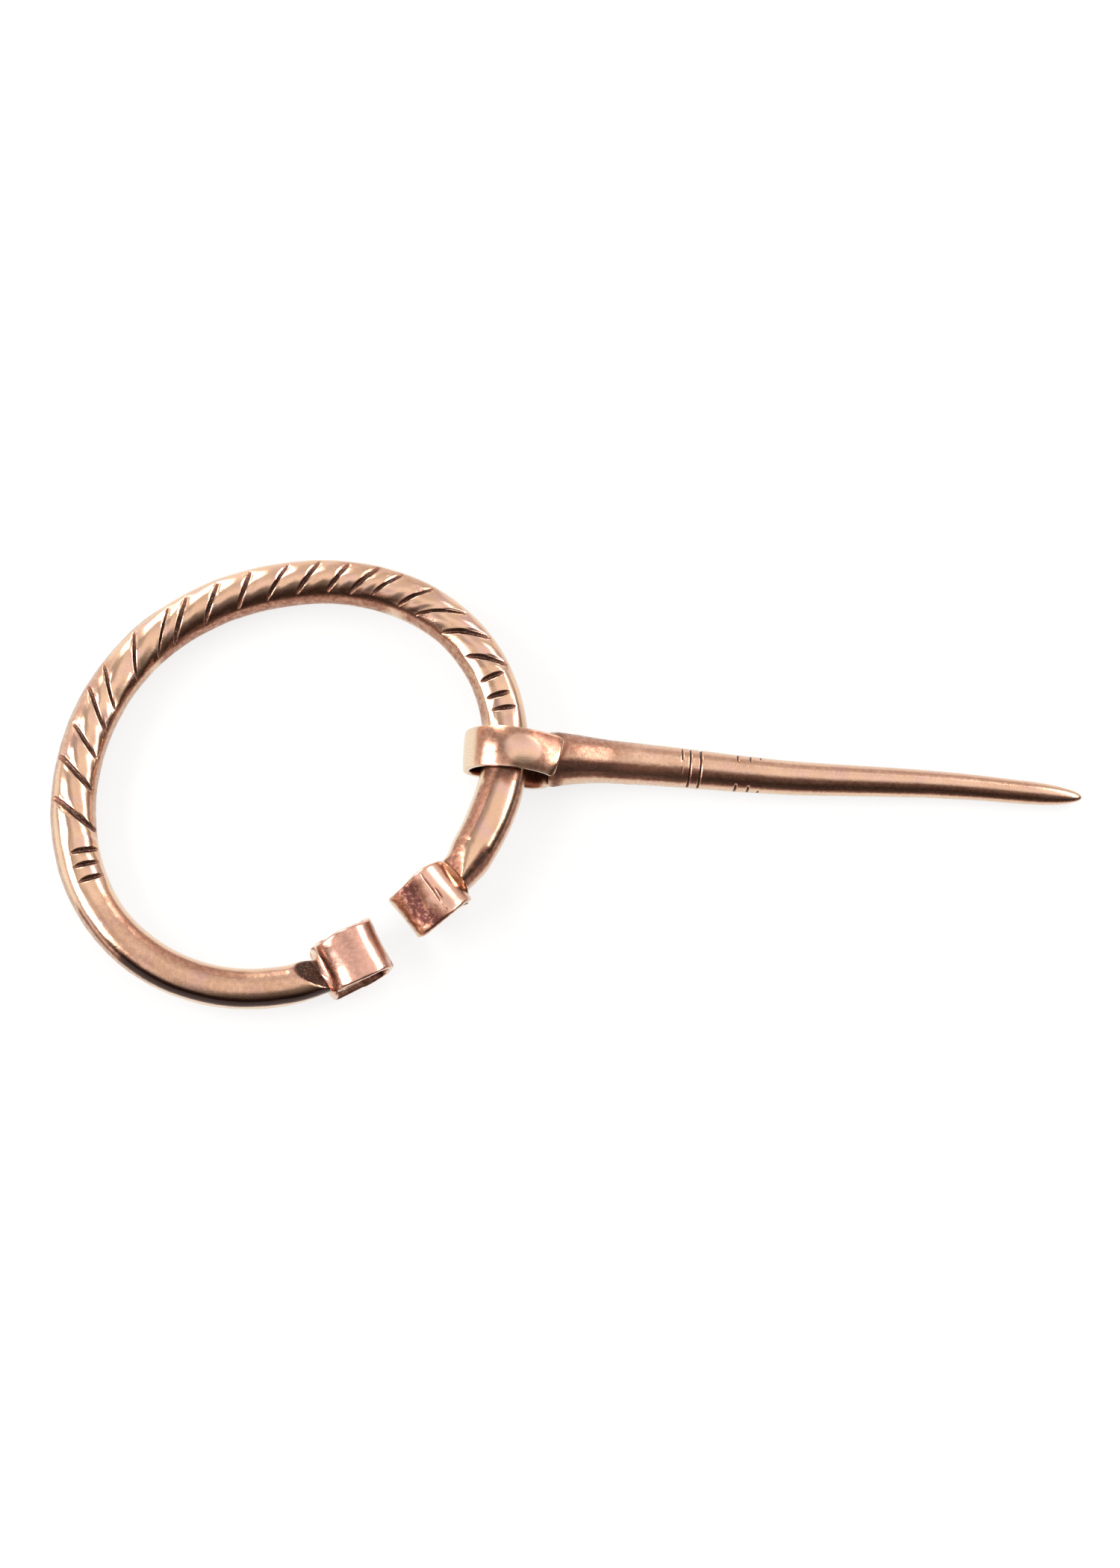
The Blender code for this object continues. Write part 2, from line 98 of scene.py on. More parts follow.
# Places across a cut, in half widths: its rings, its lips and the bevel at its outer end
CUT_PROFILE = (-2.05, -1.8, -1.55, -1.25, -1, -0.8, -0.55, -0.3, 0,
               0.3, 0.55, 0.8, 1, 1.25, 1.55, 1.8, 2.05)
CUT_LIP = 0.02 * MM
CUT_LIP_PLACE = 1.35
CUT_LIP_REACH = 0.9
CUT_BEVEL = 0.08 * MM
CUT_BEVEL_NEAR = (-2.2, -1)
CUT_BEVEL_FAR = (1, 1.9)
CUT_BEVEL_SPAN = (2 * DEG, 48 * DEG, 14 * DEG)  # from, to and edge, in degrees across the bar
VALLEY_DEPTH = 0.14 * MM
VALLEY_REACH = 0.85 * MM

# How square the bar's outer half is, by degrees round the hoop: 2 is round
SQUARENESS = ((-30, 2.3), (-15, 2.1), (60, 2), (200, 2), (226, 2.4), (243, 2.8), (285, 2.8))

# How thin the bar is by its necks, by degrees round the hoop
SLIMNESS = ((-32, 0.9), (-22, 0.97), (-10, 1), (225, 1), (248, 0.97), (268, 0.94), (285, 0.92))

# Patina and painted shade on the bar: degrees round the hoop from and to, degrees across it from and to
# (0 is the crown, 90 the outer edge), darkness, grain. The rows under the loop (-2 to 15 and -8 to 3
# degrees round) and on the outer flank facing the gap (212 to 292 round, 36 to 74 across) are painted
# shade; the rest is patina.
PATINA_AND_SHADE = (
    (-33, 0, -66, -19, 0.42, 0.8), (-28, -17, 14, 46, 0.95, 0.8), (-19, -15, 20, 50, 0.5, 1),
    (-2, 15, -62, 36, 0.8, 0.4), (-8, 3, -52, -16, 0.5, 0.4), (14, 60, -95, -52, 0.4, 0.74),
    (36, 64, -60, -30, 0.34, 0.6), (50, 80, 22, 62, 0.16, 0.9), (56, 136, -62, -22, 0.4, 0.4),
    (60, 140, -100, -44, 0.46, 0.74), (126, 240, 58, 116, 0.27, 0.7), (146, 178, 30, 66, 0.2, 0.95),
    (140, 200, -100, -50, 0.24, 0.8), (212, 262, -50, -12, 0.42, 0.8), (245, 274, -44, -14, 0.22, 1),
    (218, 236, 18, 40, 0.3, 0.6), (212, 234, 50, 70, 0.7, 0.5), (226, 292, 36, 74, 1, 0.2),
    (214, 278, -22, 38, 0.17, 0.4))
PATCH_EDGES = (4 * DEG, 9 * DEG)  # round the hoop, across the bar
BARE_GRAIN = 0.2

# Section of a flat strip: squareness of its edges and of its faces, where 2 is round
STRIP_EDGES = 2.6
STRIP_FACES = 6
ROUND = 2
INNER_SIDE = (0.25, 0.7)  # cosines of phi over which the inner side of a strip begins

# Scrolls, as in the solid, with a flange before the roll and the roll rounded as in the photo
SCROLL_LENGTH = 5.75 * MM
SCROLL_HEIGHT = 4.2 * MM
SCROLL_STRIP = 0.65 * MM
SCROLL_TIP_STRIP = 0.45 * MM
SCROLL_GAP = 0.15 * MM
SCROLL_TURNS = 1.46
SCROLL_CORNER = 0.7 * MM
INNER_SQUARENESS = 2.3
SCROLL_DISH = 0.16 * MM
# Half turns up to which the inner side of the roll gets painted shade
SCROLL_SHADE_UNTIL = (2.3, 2.6)  # half turns
FLANGE_SQUARENESS = 5
FLANGE_BACK = (0.13 * MM, 0.04 * MM)  # from where to where it falls, before the roll
NECK_NARROWING = 0.04
FACET_START = 1.06  # distance of a facet where the neck begins, in radii
FACET_SIDE = 0.05  # cosine where a facet ends
FACET_EDGE = (0.03 * MM, 0.12 * MM)  # depths at which its finish begins and is whole
FACET_GROWTH = (0.1, 0.55)
SEAM_DEPTH = 0.09 * MM
SEAM_HALF_WIDTH = 0.085 * MM
SEAM_WAVER = 0.35
SEAM_WAVER_PACE = 11
STAIN_WAVES = ((0.03, 9, 1), (0.014, 25, 0))  # size in half turns, pace across, phase
STAIN_EDGE = 0.09
STAIN_LIMIT = 1.05

# side: 1 where the angle round the hoop grows towards the scroll, -1 where it falls. start: angle
# where the neck ends. heading, twist: of the strip, seen from above and about its length. shift:
# outwards. lip, neck: lengths of the strip before the roll and of the neck. facets: hammered into
# the neck, as tilt outwards, end distance (in radii), power of growth, darkness, grain. rounding:
# of their edges. slide, waist: how far the neck's end moves outwards, and how much its outer half
# narrows. flange, lean: height above the strip, and lean of its top over the roll. squareness: of
# the roll, towards the gap and the bar. taper: half turns, and how much the outer half narrows.
# seams: half turns and share across, each at both ends. stains: half turns from and to, darkness.
LEFT_SCROLL = SimpleNamespace(
    side=1, start=280 * DEG, heading=28.7 * DEG, twist=8 * DEG, width=4.9 * MM, shift=-0.3 * MM,
    lip=0.5 * MM, neck=3 * MM, facets=((-32 * DEG, 0.18, 1.4, 1.3, 1),), rounding=0.03 * MM,
    slide=0, waist=0, flange=1.9 * MM, lean=0.17 * MM, squareness=(2.0, 1.8), rose=0.9,
    taper=((0.3, 0), (0.8, 0.2), (3, 0.24)), seams=(),
    stains=((0.6, 1.4, 0.1), (1.26, 1.48, 0.6), (1.09, 1.17, 0.24), (0.42, 0.61, 0.6),
            (0.59, 0.68, 0.2)))
RIGHT_SCROLL = SimpleNamespace(
    side=-1, start=-29.5 * DEG, heading=219.9 * DEG, twist=0, width=4.4 * MM, shift=0.3 * MM,
    lip=0.25 * MM, neck=3 * MM,
    facets=((-28 * DEG, 0.62, 2.4, 0.74, 0.74), (48 * DEG, 0.9, 1, 0.2, 0.5)), rounding=0.14 * MM,
    slide=-0.25 * MM, waist=0.1, flange=1.95 * MM, lean=0.3 * MM, squareness=(1.75, 1.9), rose=0.6,
    taper=((0, 0.17), (0.35, 0.17), (0.62, 0), (1.45, 0), (1.7, 0.2)),
    seams=((1.03, 0.985, -0.96, 0.86), (1.05, 1.04, -0.2, 0.35)),
    stains=((0.5, 0.975, 0.45), (0.64, 0.91, 0.55)))

# Pin, as in the solid
LOOP_ANGLE = 8.6 * DEG
LOOP_CLEARANCE = 0.3 * MM
LOOP_STRIP = 0.7 * MM
LOOP_WIDTH = 3.5 * MM
LOOP_INNER_REACH = 2.75 * MM
LOOP_OUTER_REACH = 3.9 * MM
LOOP_SHOULDER_RADIUS = 3.7 * MM
LOOP_END_REACH = 4.4 * MM
LOOP_END_DROP = 0.95 * MM
LOOP_END_GAP = 0.15 * MM
LOOP_END_DRIFT = 0.65 * MM
LOOP_END_SLANT = 14 * DEG
LOOP_END_CORNER = 0.6 * MM
LOOP_CROWN = 0.9
FRONT_CORNER = (0.9 * MM, 3.1 * MM)
HEAD_NARROWING = 0.12
HEAD_FLARE = 1.05 * MM
HEAD_FLARE_POWER = 1.5
HEAD_LIP = 0.2 * MM
PIN_REACH = 50.2 * MM
TIP_LENGTH = 5.6 * MM
TIP_LEAST = 0.0001
SHAFT_START = 9.3 * MM
SHAFT_WIDTH = 3.65 * MM
SHAFT_END_WIDTH = 2.02 * MM
SHAFT_FLATNESS = 0.9
SHAFT_RIDGE = 0.05
SHAFT_RIDGE_REACH = 15 * MM
SHAFT_LEAN = 1.6 * DEG
SHAFT_OFFSET = 0.14 * MM
SHAFT_WAVE = 0.15 * MM
SHAFT_WAVE_LENGTH = 29 * MM

# Lines cut into the shaft: distance from the bar, half width and depth in mm, degrees from and to
# (0 is the top, 90 the edge away from the gap of the hoop)
SHAFT_LINES = (
    (15.1, 0.09, 0.1, 0, 62), (15.1, 0.07, 0.05, -40, -6),
    (15.8, 0.09, 0.13, -100, 100), (16.7, 0.105, 0.14, -100, 100),
    (19.9, 0.09, 0.08, 18, 110), (21.0, 0.09, 0.08, 22, 110), (21.9, 0.08, 0.05, 38, 110),
    (19.9, 0.12, 0.15, -110, -46), (21.0, 0.11, 0.13, -110, -50), (21.9, 0.09, 0.07, -110, -68))
SHAFT_LINE_LEAN = 0.02 * MM
SHAFT_LINE_REACH = 0.45 * MM
SHAFT_LINE_EDGE = 14 * DEG
SHAFT_LINE_LIP = 0.018 * MM

# Brown films and painted shade on the pin: 0 is bare metal, 1 is black. Spans across the shaft are from,
# to, edge.
LOOP_FILM = 0.36
LOOP_CORNER_FILM = 0.9  # how much more there is at the corner by the shaft
LOOP_CLEAN = (1.1 * MM, -0.1 * MM, 1.5 * MM, 1.25 * MM)  # middle and half sizes of its clean spot
# Painted shade on the inner side of the loop
LOOP_INSIDE_SHADE = 0.8
HEAD_FILM = 0.4
HEAD_FILM_END = (8 * MM, 13 * MM)
HEAD_GRAIN_END = (8 * MM, 22 * MM)
# Painted shade on the flank facing the gap, along the head and the shaft
FLANK_SHADE = 0.85
FLANK_SHADE_SPAN = (10 * DEG, 50 * DEG, 11 * DEG)
BAND_FILM = 0.24
BAND_FILM_SPAN = (13 * DEG, 45 * DEG, 10 * DEG)
SHAFT_FILM_SHARE = 0.12  # share of the head's film that goes on along the shaft
FLANK_SHADE_SHARE = 0.56
# Painted shadow in the crevice next to the loop's free end
CREVICE_SHADE_DARK = 0.75
CREVICE_REACH = (0.1 * MM, 0.9 * MM)

# Unevenness of the hand-made surfaces: size, amount, seed
HOOP_BUMPS = ((3.5 * MM, 0.05 * MM, 1), (1.6 * MM, 0.02 * MM, 2), (0.7 * MM, 0.005 * MM, 3))
PIN_BUMPS = ((3.5 * MM, 0.03 * MM, 4), (1.4 * MM, 0.012 * MM, 5))
GRAIN_BUMPS = (0.3 * MM, 0.06 * MM, 9)
GRAIN_BUMPS_FROM = 0.3

# Painted shade and painted rim reflection that follow from where the surface faces
GAP_SIDE = np.array((0.3, -0.95))
UNDER_SHADE = 0.5
GAP_SIDE_SHADE = 0.7

# Fineness
BAR_SIDES = 80
PIN_SIDES = 72
PLAIN_SPACING = 0.4 * MM
LINE_SPACING = 0.05 * MM
LEAST_RING_STEP = 0.0002 * DEG
NECK_RINGS = 26
LIP_RINGS = 16
BASE_RINGS = 7
ROLL_RINGS = ((0, 0.9, 39), (0.9, 1.12, 33), (1.12, 1.6, 25), (1.6, 2 * SCROLL_TURNS, 49))  # half turns
TIP_TURNS = range(0, 88, 4)
FRONT_RINGS = 28
LOOP_UNDER_RINGS = 12
LOOP_BEND_RINGS = 18
LOOP_SHOULDER_RINGS = 44
LOOP_TOP_RINGS = 40

# Colours of the metal and of what lies on it
HOOP_METAL = {"light": (0.82, 0.535, 0.37, 1), "deep": (0.73, 0.458, 0.31, 1),
              "pink": (0.73, 0.458, 0.38, 1), "roughness": 0.14}
PIN_METAL = {"light": (0.82, 0.54, 0.385, 1), "deep": (0.73, 0.458, 0.32, 1),
             "pink": (0.75, 0.473, 0.385, 1), "roughness": 0.17}
# Darkest colour, for patina and for painted shade
SOOT_AND_SHADE = (0.055, 0.032, 0.027, 1)
BROWN = (0.38, 0.172, 0.113, 1)
# Cream of the painted rim reflection
RIM_REFLECTION_CREAM = (0.86, 0.74, 0.55, 1)
ROSE = (0.8, 0.45, 0.36, 1)
WINE = (0.12, 0.036, 0.032, 1)
FRECKLE = (0.3, 0.15, 0.1, 1)

# Scales of the noise in the metal, per metre
FINE = 9000
COARSE = 2600
CLOUDS = 240
BLUSH = 520
# Scale of the dots of the painted glints
GLINT_DOT_SCALE = 6500
SCRATCHES = ((0.5, (260, 9000, 260)), (-0.9, (9000, 300, 300)))  # turn, scales
BUMP_HEIGHT = 0.03 * MM

# Room light: patches as azimuth, elevation, inner and outer radius in degrees, amount
ROOM_SKY = (100, 60, 50, 86, 1)
ROOM_SHADES = ((150, 42, 8, 34, 0.62), (178, 66, 4, 20, 0.35), (-64, 50, 20, 36, 0.85),
               (75, 32, 10, 42, 0.3))
ROOM_GLOW = (190, 2, 10, 30, 0.45)
ROOM_DARK = (0.045, 0.036, 0.032, 1)
ROOM_LIGHT = (1.08, 1.04, 1.0, 1)
ROOM_STRENGTH = 1.07
SOFTBOX_DISTANCE = 0.6

# Table
FLOOR_HALF = 1.5
FLOOR_PAPER = {"Base Color": (0.17, 0.17, 0.167, 1), "Roughness": 0.9, "Specular IOR Level": 0.1,
               "Emission Color": (1, 1, 0.99, 1), "Emission Strength": 0.8}

# Camera
AIM = Vector((-1.364, 0.844, 2.01)) * MM
VIEW_DIRECTION = Vector((-0.14, -0.25, 0.958)).normalized()
CAMERA_DISTANCE = 420 * MM
PICTURE_HEIGHT = 132.3 * MM
SENSOR = 36


def smooth(value, start, end):
    share = np.clip((value - start) / (end - start), 0, 1)
    return share * share * (3 - 2 * share)


def mix(first, second, share):
    return first + (second - first) * share


def window(value, start, end, edge):
    """1 between start and end, fading to 0 over the edge inside them."""
    return smooth(value, start, start + edge) * (1 - smooth(value, end - edge, end))


def superellipse(value, squareness):
    return np.sign(value) * np.abs(value) ** (2 / squareness)


def ring_angles(sides):
    return np.arange(sides) * (2 * math.pi / sides)


def wrapped(angle):
    return np.arctan2(np.sin(angle), np.cos(angle))


class Sweep(list):
    """Rings of points in order, each point with its darkness, grain and rosy tint."""

    def add(self, points, dark, grain, rose=0):
        values = (np.broadcast_to(value, len(points)) for value in (dark, grain, rose))
        self.append((points, *values))


def unit(vectors):
    """Same directions, with length 1."""
    return vectors / np.maximum(np.linalg.norm(vectors, axis=-1, keepdims=True), 1e-12)


# Bar of the hoop, in its own frame: centre at the origin, Z up

def hoop_radius(angle):
    turn = angle - HOOP_LEAN
    across = np.hypot(HOOP_SHORT_RADIUS * np.cos(turn), HOOP_LONG_RADIUS * np.sin(turn))
    oval = HOOP_LONG_RADIUS * HOOP_SHORT_RADIUS / across
    return oval + HOOP_EGG * np.cos(3 * (angle - HOOP_EGG_TURN))


def hoop_point(angle):
    radius = hoop_radius(angle)
    return np.stack([radius * np.cos(angle), radius * np.sin(angle)], -1)


def hoop_slope(angle):
    step = 0.01 * DEG
    return (hoop_point(angle + step) - hoop_point(angle - step)) / (2 * step)


def hoop_speed(angle):
    return np.linalg.norm(hoop_slope(angle), axis=-1)


def outward(angle):
    slope = unit(hoop_slope(angle))
    return np.stack([slope[..., 1], -slope[..., 0]], -1)


def bar_radius(angle):
    carved = smooth(angle, *BAR_CARVED_FROM)
    far = smooth(angle, *BAR_FAR_FROM)
    diameter = mix(BAR_DIAMETER_BY_PIN, BAR_DIAMETER_CARVED, carved)
    return mix(diameter, BAR_DIAMETER_FAR, far) / 2


def cut_slide(phi):
    """How far a slanting cut has run sideways at each phi; it runs straight near the crown."""
    turn = wrapped(phi)
    beyond = np.clip(np.abs(turn) - CUT_STRAIGHT_REACH, 0, None)
    fade = np.cos(math.pi / 2 * beyond / (math.pi - CUT_STRAIGHT_REACH)) ** 2
    straight = np.sin(np.minimum(np.abs(turn), CUT_STRAIGHT_REACH))
    return np.sign(turn) * straight * fade


def cut_line(cut, phi):
    """Middle of a cut: its angle round the hoop, and the share of its full depth, at each phi."""
    angle, slant, reach_out, reach_in = (value * DEG for value in cut[:4])
    middle = (reach_out - reach_in) / 2
    reach = (reach_out + reach_in) / 2
    share = np.clip(1 - ((wrapped(phi) - middle) / reach) ** 2, 0, 1)
    slide = -bar_radius(angle) * math.tan(slant) * cut_slide(phi)
    return angle + slide / hoop_speed(angle), share


def cut_rings(cut, phi):
    """The rings over one cut: (angles, depths, darkness)."""
    line, share = cut_line(cut, phi)
    angle, slant = cut[0] * DEG, cut[1] * DEG
    end_share = np.maximum(share ** CUT_WIDTH_POWER, CUT_END_WIDTH)
    half_width = cut[4] * MM / 2 / math.cos(slant) * end_share
    outer_end = window(wrapped(phi), *CUT_BEVEL_SPAN) * (slant > 0)
    rings = []
    for place in CUT_PROFILE:
        inside = max(0, 1 - abs(place) ** CUT_SECTION_POWER)
        lip = max(0, 1 - ((abs(place) - CUT_LIP_PLACE) / CUT_LIP_REACH) ** 2)
        beside = smooth(place, *CUT_BEVEL_NEAR) * (1 - smooth(place, *CUT_BEVEL_FAR))
        depth = np.maximum(CUT_DEPTH * share ** CUT_DEPTH_POWER * inside, CUT_BEVEL * beside * outer_end)
        depth -= CUT_LIP * np.sqrt(share) * lip
        dark = share ** CUT_DARK_POWER * min(1, inside * 3)
        rings.append((line + place * half_width / hoop_speed(angle), depth, dark))
    return rings


def valleys(angles, phi):
    """Soft hollow along every cut, which leaves the metal between the cuts swollen."""
    depth = np.zeros_like(angles)
    for cut in CUTS:
        line, share = cut_line(cut, phi)
        offset = (angles - line) * hoop_speed(cut[0] * DEG) / VALLEY_REACH
        depth = np.maximum(depth, np.exp(-offset ** 2) * np.sqrt(share))
    return VALLEY_DEPTH * depth


def bar_grid(first, last, phi):
    """Rings of the bar between two angles: arrays of angle, depth, darkness."""
    none = np.zeros(len(phi))
    rings = [(np.full(len(phi), first), none, none)]
    for group in (*(cut_rings(cut, phi) for cut in CUTS), [(np.full(len(phi), last), none, none)]):
        start, target = rings[-1][0], group[0][0]
        gap = (target - start).max() * hoop_speed(target.mean())
        count = max(1, round(gap / PLAIN_SPACING))
        rings += [(mix(start, target, index / count), none, none) for index in range(1, count)]
        rings += group
    angles, depths, darks = (np.array(rows) for rows in zip(*rings))
    steps = np.arange(len(angles))[:, None] * LEAST_RING_STEP
    angles = np.maximum.accumulate(angles - steps, axis=0) + steps
    return angles, depths + valleys(angles, phi), darks


def bar_patina_and_shade(angles, phi):
    """Darkness and grain of the patches of patina and of painted shade."""
    turn = wrapped(phi)
    along_edge, across_edge = PATCH_EDGES
    dark, grain = np.zeros_like(angles), np.full_like(angles, BARE_GRAIN)
    for first, last, low, high, patch_dark, patch_grain in PATINA_AND_SHADE:
        shown = window(angles, first * DEG, last * DEG, along_edge)
        shown *= window(turn, low * DEG, high * DEG, across_edge)
        dark = np.maximum(dark, patch_dark * shown)
        grain = np.maximum(grain, patch_grain * shown)
    return dark, grain


def shape(angles, phi):
    """The bar's own section, as a share of a round one's radius."""
    places, values = np.array(SQUARENESS).T
    square = np.interp(angles, places * DEG, values)
    power = np.abs(np.sin(phi)) ** square + np.abs(np.cos(phi)) ** square
    outer_top = smooth(np.sin(phi), 0, 0.2) * smooth(np.cos(phi), -0.3, 0)
    places, values = np.array(SLIMNESS).T
    slim = np.interp(angles, places * DEG, values)
    return slim * (1 + (power ** (-1 / square) - 1) * outer_top)


def bar_points(angles, phi, depths):
    radius = bar_radius(angles)
    reach = radius * shape(angles, phi) - depths
    out = reach * np.sin(phi)
    up = np.maximum(reach * np.cos(phi), FLAT_SPOT_DEPTH - radius)
    plan = hoop_point(angles) + outward(angles) * out[..., None]
    return np.concatenate([plan, up[..., None]], -1)


def strip_section(width, thickness, phi, crown=0):
    """Points of a flat strip with rounded edges, as (outward, up)."""
    out = width / 2 * superellipse(np.sin(phi), STRIP_EDGES)
    up = thickness / 2 * superellipse(np.cos(phi), STRIP_FACES)
    return out, np.where(up < 0, up * (1 - crown * (2 * out / width) ** 2), up)


# Scrolls

def roll_centre(scroll):
    return (SCROLL_LENGTH + scroll.lip) / 2 - (SCROLL_STRIP + SCROLL_GAP) / 4


def roll_point(scroll, turn):
    """Middle line of the roll, side on: distance along from the neck, and height."""
    gap_side, bar_side = scroll.squareness
    pitch = SCROLL_STRIP + SCROLL_GAP
    half_length = (SCROLL_LENGTH - scroll.lip) / 2 + pitch / 2 - SCROLL_STRIP / 2
    half_height = (SCROLL_HEIGHT - SCROLL_STRIP) / 2 + pitch / 4
    shrink = pitch * turn / (2 * math.pi)
    if math.pi / 2 < turn <= math.pi:
        squareness = gap_side
    elif math.pi < turn < 1.5 * math.pi:
        squareness = bar_side
    else:
        squareness = INNER_SQUARENESS
    along = (half_length - shrink) * superellipse(math.sin(turn), squareness)
    up = -(half_height - shrink) * superellipse(math.cos(turn), squareness)
    return np.array((roll_centre(scroll) + along, half_height + up))


def scroll_stations(scroll):
    """Middle line of a scroll, side on: (turn, along, up, heading), with turn 0 before the roll."""
    lip_places = np.linspace(0.02 * MM, scroll.lip, LIP_RINGS)
    base_places = np.linspace(scroll.lip + 0.1 * MM, 0.95 * roll_centre(scroll), BASE_RINGS)
    stations = [(0, along, 0, 0) for along in (*lip_places, *base_places)]
    turns = [np.linspace(first, last, rings, endpoint=False) for first, last, rings in ROLL_RINGS]
    for turn in (*(np.concatenate(turns) * math.pi), 2 * SCROLL_TURNS * math.pi):
        along, up = roll_point(scroll, turn)
        slope = roll_point(scroll, turn + DEG) - roll_point(scroll, max(turn - DEG, 0))
        stations.append((turn, along, up, math.atan2(slope[1], slope[0])))
    return stations


def neck_section(scroll, angle, share, phi):
    """The bar's section under the facets hammered into it: outward, up, darkness and grain."""
    radius = bar_radius(angle)
    angles = np.full(len(phi), angle)
    reach = radius * shape(angles, phi)
    dark, grain = bar_patina_and_shade(angles, phi)
    for tilt, end, power, facet_dark, facet_grain in scroll.facets:
        distance = radius * mix(FACET_START, end, share ** power)
        fall = np.cos(phi - tilt)
        cut = np.where(fall > FACET_SIDE, distance / np.maximum(fall, FACET_SIDE), 2 * radius)
        shown = smooth(reach - cut, FACET_EDGE[0] - scroll.rounding, FACET_EDGE[1])
        shown *= smooth(share, *FACET_GROWTH)
        dark = mix(dark, facet_dark, shown)
        grain = mix(grain, facet_grain, shown)
        reach = -scroll.rounding * np.logaddexp(-reach / scroll.rounding, -cut / scroll.rounding)
    up = np.maximum(reach * np.cos(phi), FLAT_SPOT_DEPTH - radius)
    return reach * np.sin(phi), up, dark, grain


def seam_share(turn, across, seams):
    """How far each point lies in a seam of the roll, 0 to 1; across runs from -1 to 1."""
    share = np.zeros(len(across))
    reach = SCROLL_LENGTH / 2 - SCROLL_STRIP
    for first_turn, last_turn, start, end in seams:
        place = (across - start) / (end - start)
        centre = mix(first_turn, last_turn, place) * math.pi
        waver = SEAM_WAVER * np.sin(place * SEAM_WAVER_PACE)
        offset = (turn - centre) * reach / SEAM_HALF_WIDTH + waver
        depth = np.clip(1 - (2 * place - 1) ** 4, 0, 1)
        share = np.maximum(share, np.exp(-offset ** 2) * depth)
    return share


def neck_start(scroll):
    """Angle round the hoop where the neck begins."""
    return scroll.start - scroll.side * scroll.neck / hoop_speed(scroll.start)


def lip_section(scroll, along, neck_across, neck_up, phi):
    """The strip before the roll, with its flange: across, along, up, darkness (painted shade in the
    crevice before the roll) and grain.
    """
    across, up = strip_section(scroll.width, SCROLL_STRIP, phi)
    top = np.maximum(superellipse(np.cos(phi), FLANGE_SQUARENESS), 0)
    back_start, back_end = (scroll.lip - place for place in FLANGE_BACK)
    corner = 1 - min(along / SCROLL_CORNER, 1)
    own_height = smooth(along, -0.05 * MM, 0.7 * scroll.lip)
    # Painted shade in the crevice between the flange and the roll
    crevice_shade = mix(0.1, 0.9, smooth(along, back_start, scroll.lip))
    raised = scroll.flange * (1 - smooth(along, back_start, back_end))
    lean = scroll.lean * (raised / scroll.flange) ** 4 * smooth(along, 0, 0.6 * scroll.lip)
    along = along + lean * top
    narrowing = scroll.taper[0][1] * smooth(along.mean(), 0.1 * MM, 0.9 * MM)
    across = np.where(across > 0, across * (1 - narrowing), across)
    across = mix(neck_across, across, math.sqrt(1 - corner ** 2))
    up = mix(neck_up, up + raised * top, own_height)
    return across, along, up, crevice_shade * np.maximum(np.cos(phi), 0), 0.3


def roll_section(scroll, turn, phi):
    """The strip in the roll, dished, seamed and stained, with painted shade on the inner side of its
    turns: across, up, darkness and grain.
    """
    end_turn = 2 * SCROLL_TURNS * math.pi
    thickness = mix(SCROLL_STRIP, SCROLL_TIP_STRIP, smooth(turn, end_turn / 2, end_turn))
    across, up = strip_section(scroll.width, thickness, phi)
    place = across / scroll.width
    outer = smooth(-np.cos(phi), 0.1, 0.5)
    seam = seam_share(turn, 2 * place, scroll.seams) * outer
    up = up + SEAM_DEPTH * seam - SCROLL_DISH * ((2 * place) ** 2 - 0.33) * outer
    half_turns = turn / math.pi
    # Painted shade on the inner side of the turns, inside the roll
    inside_shade = smooth(np.cos(phi), *INNER_SIDE) * (1 - smooth(half_turns, *SCROLL_SHADE_UNTIL))
    wavy = half_turns + sum(size * np.sin(pace * place + phase) for size, pace, phase in STAIN_WAVES)
    stain = sum(amount * window(wavy, first, last, STAIN_EDGE) for first, last, amount in scroll.stains)
    stain = np.minimum(stain, STAIN_LIMIT)
    dark = np.maximum(np.maximum(inside_shade, seam), stain * outer)
    grain = 0.25 + 0.45 * np.minimum(seam + stain, 1)
    inner_edge = 0.045 * math.cos(3.1 * turn + 2.4)
    outer_edge = 0.02 * math.cos(2.3 * turn) - np.interp(half_turns, *zip(*scroll.taper))
    return across * (1 + np.where(across < 0, inner_edge, outer_edge)), up, dark, grain


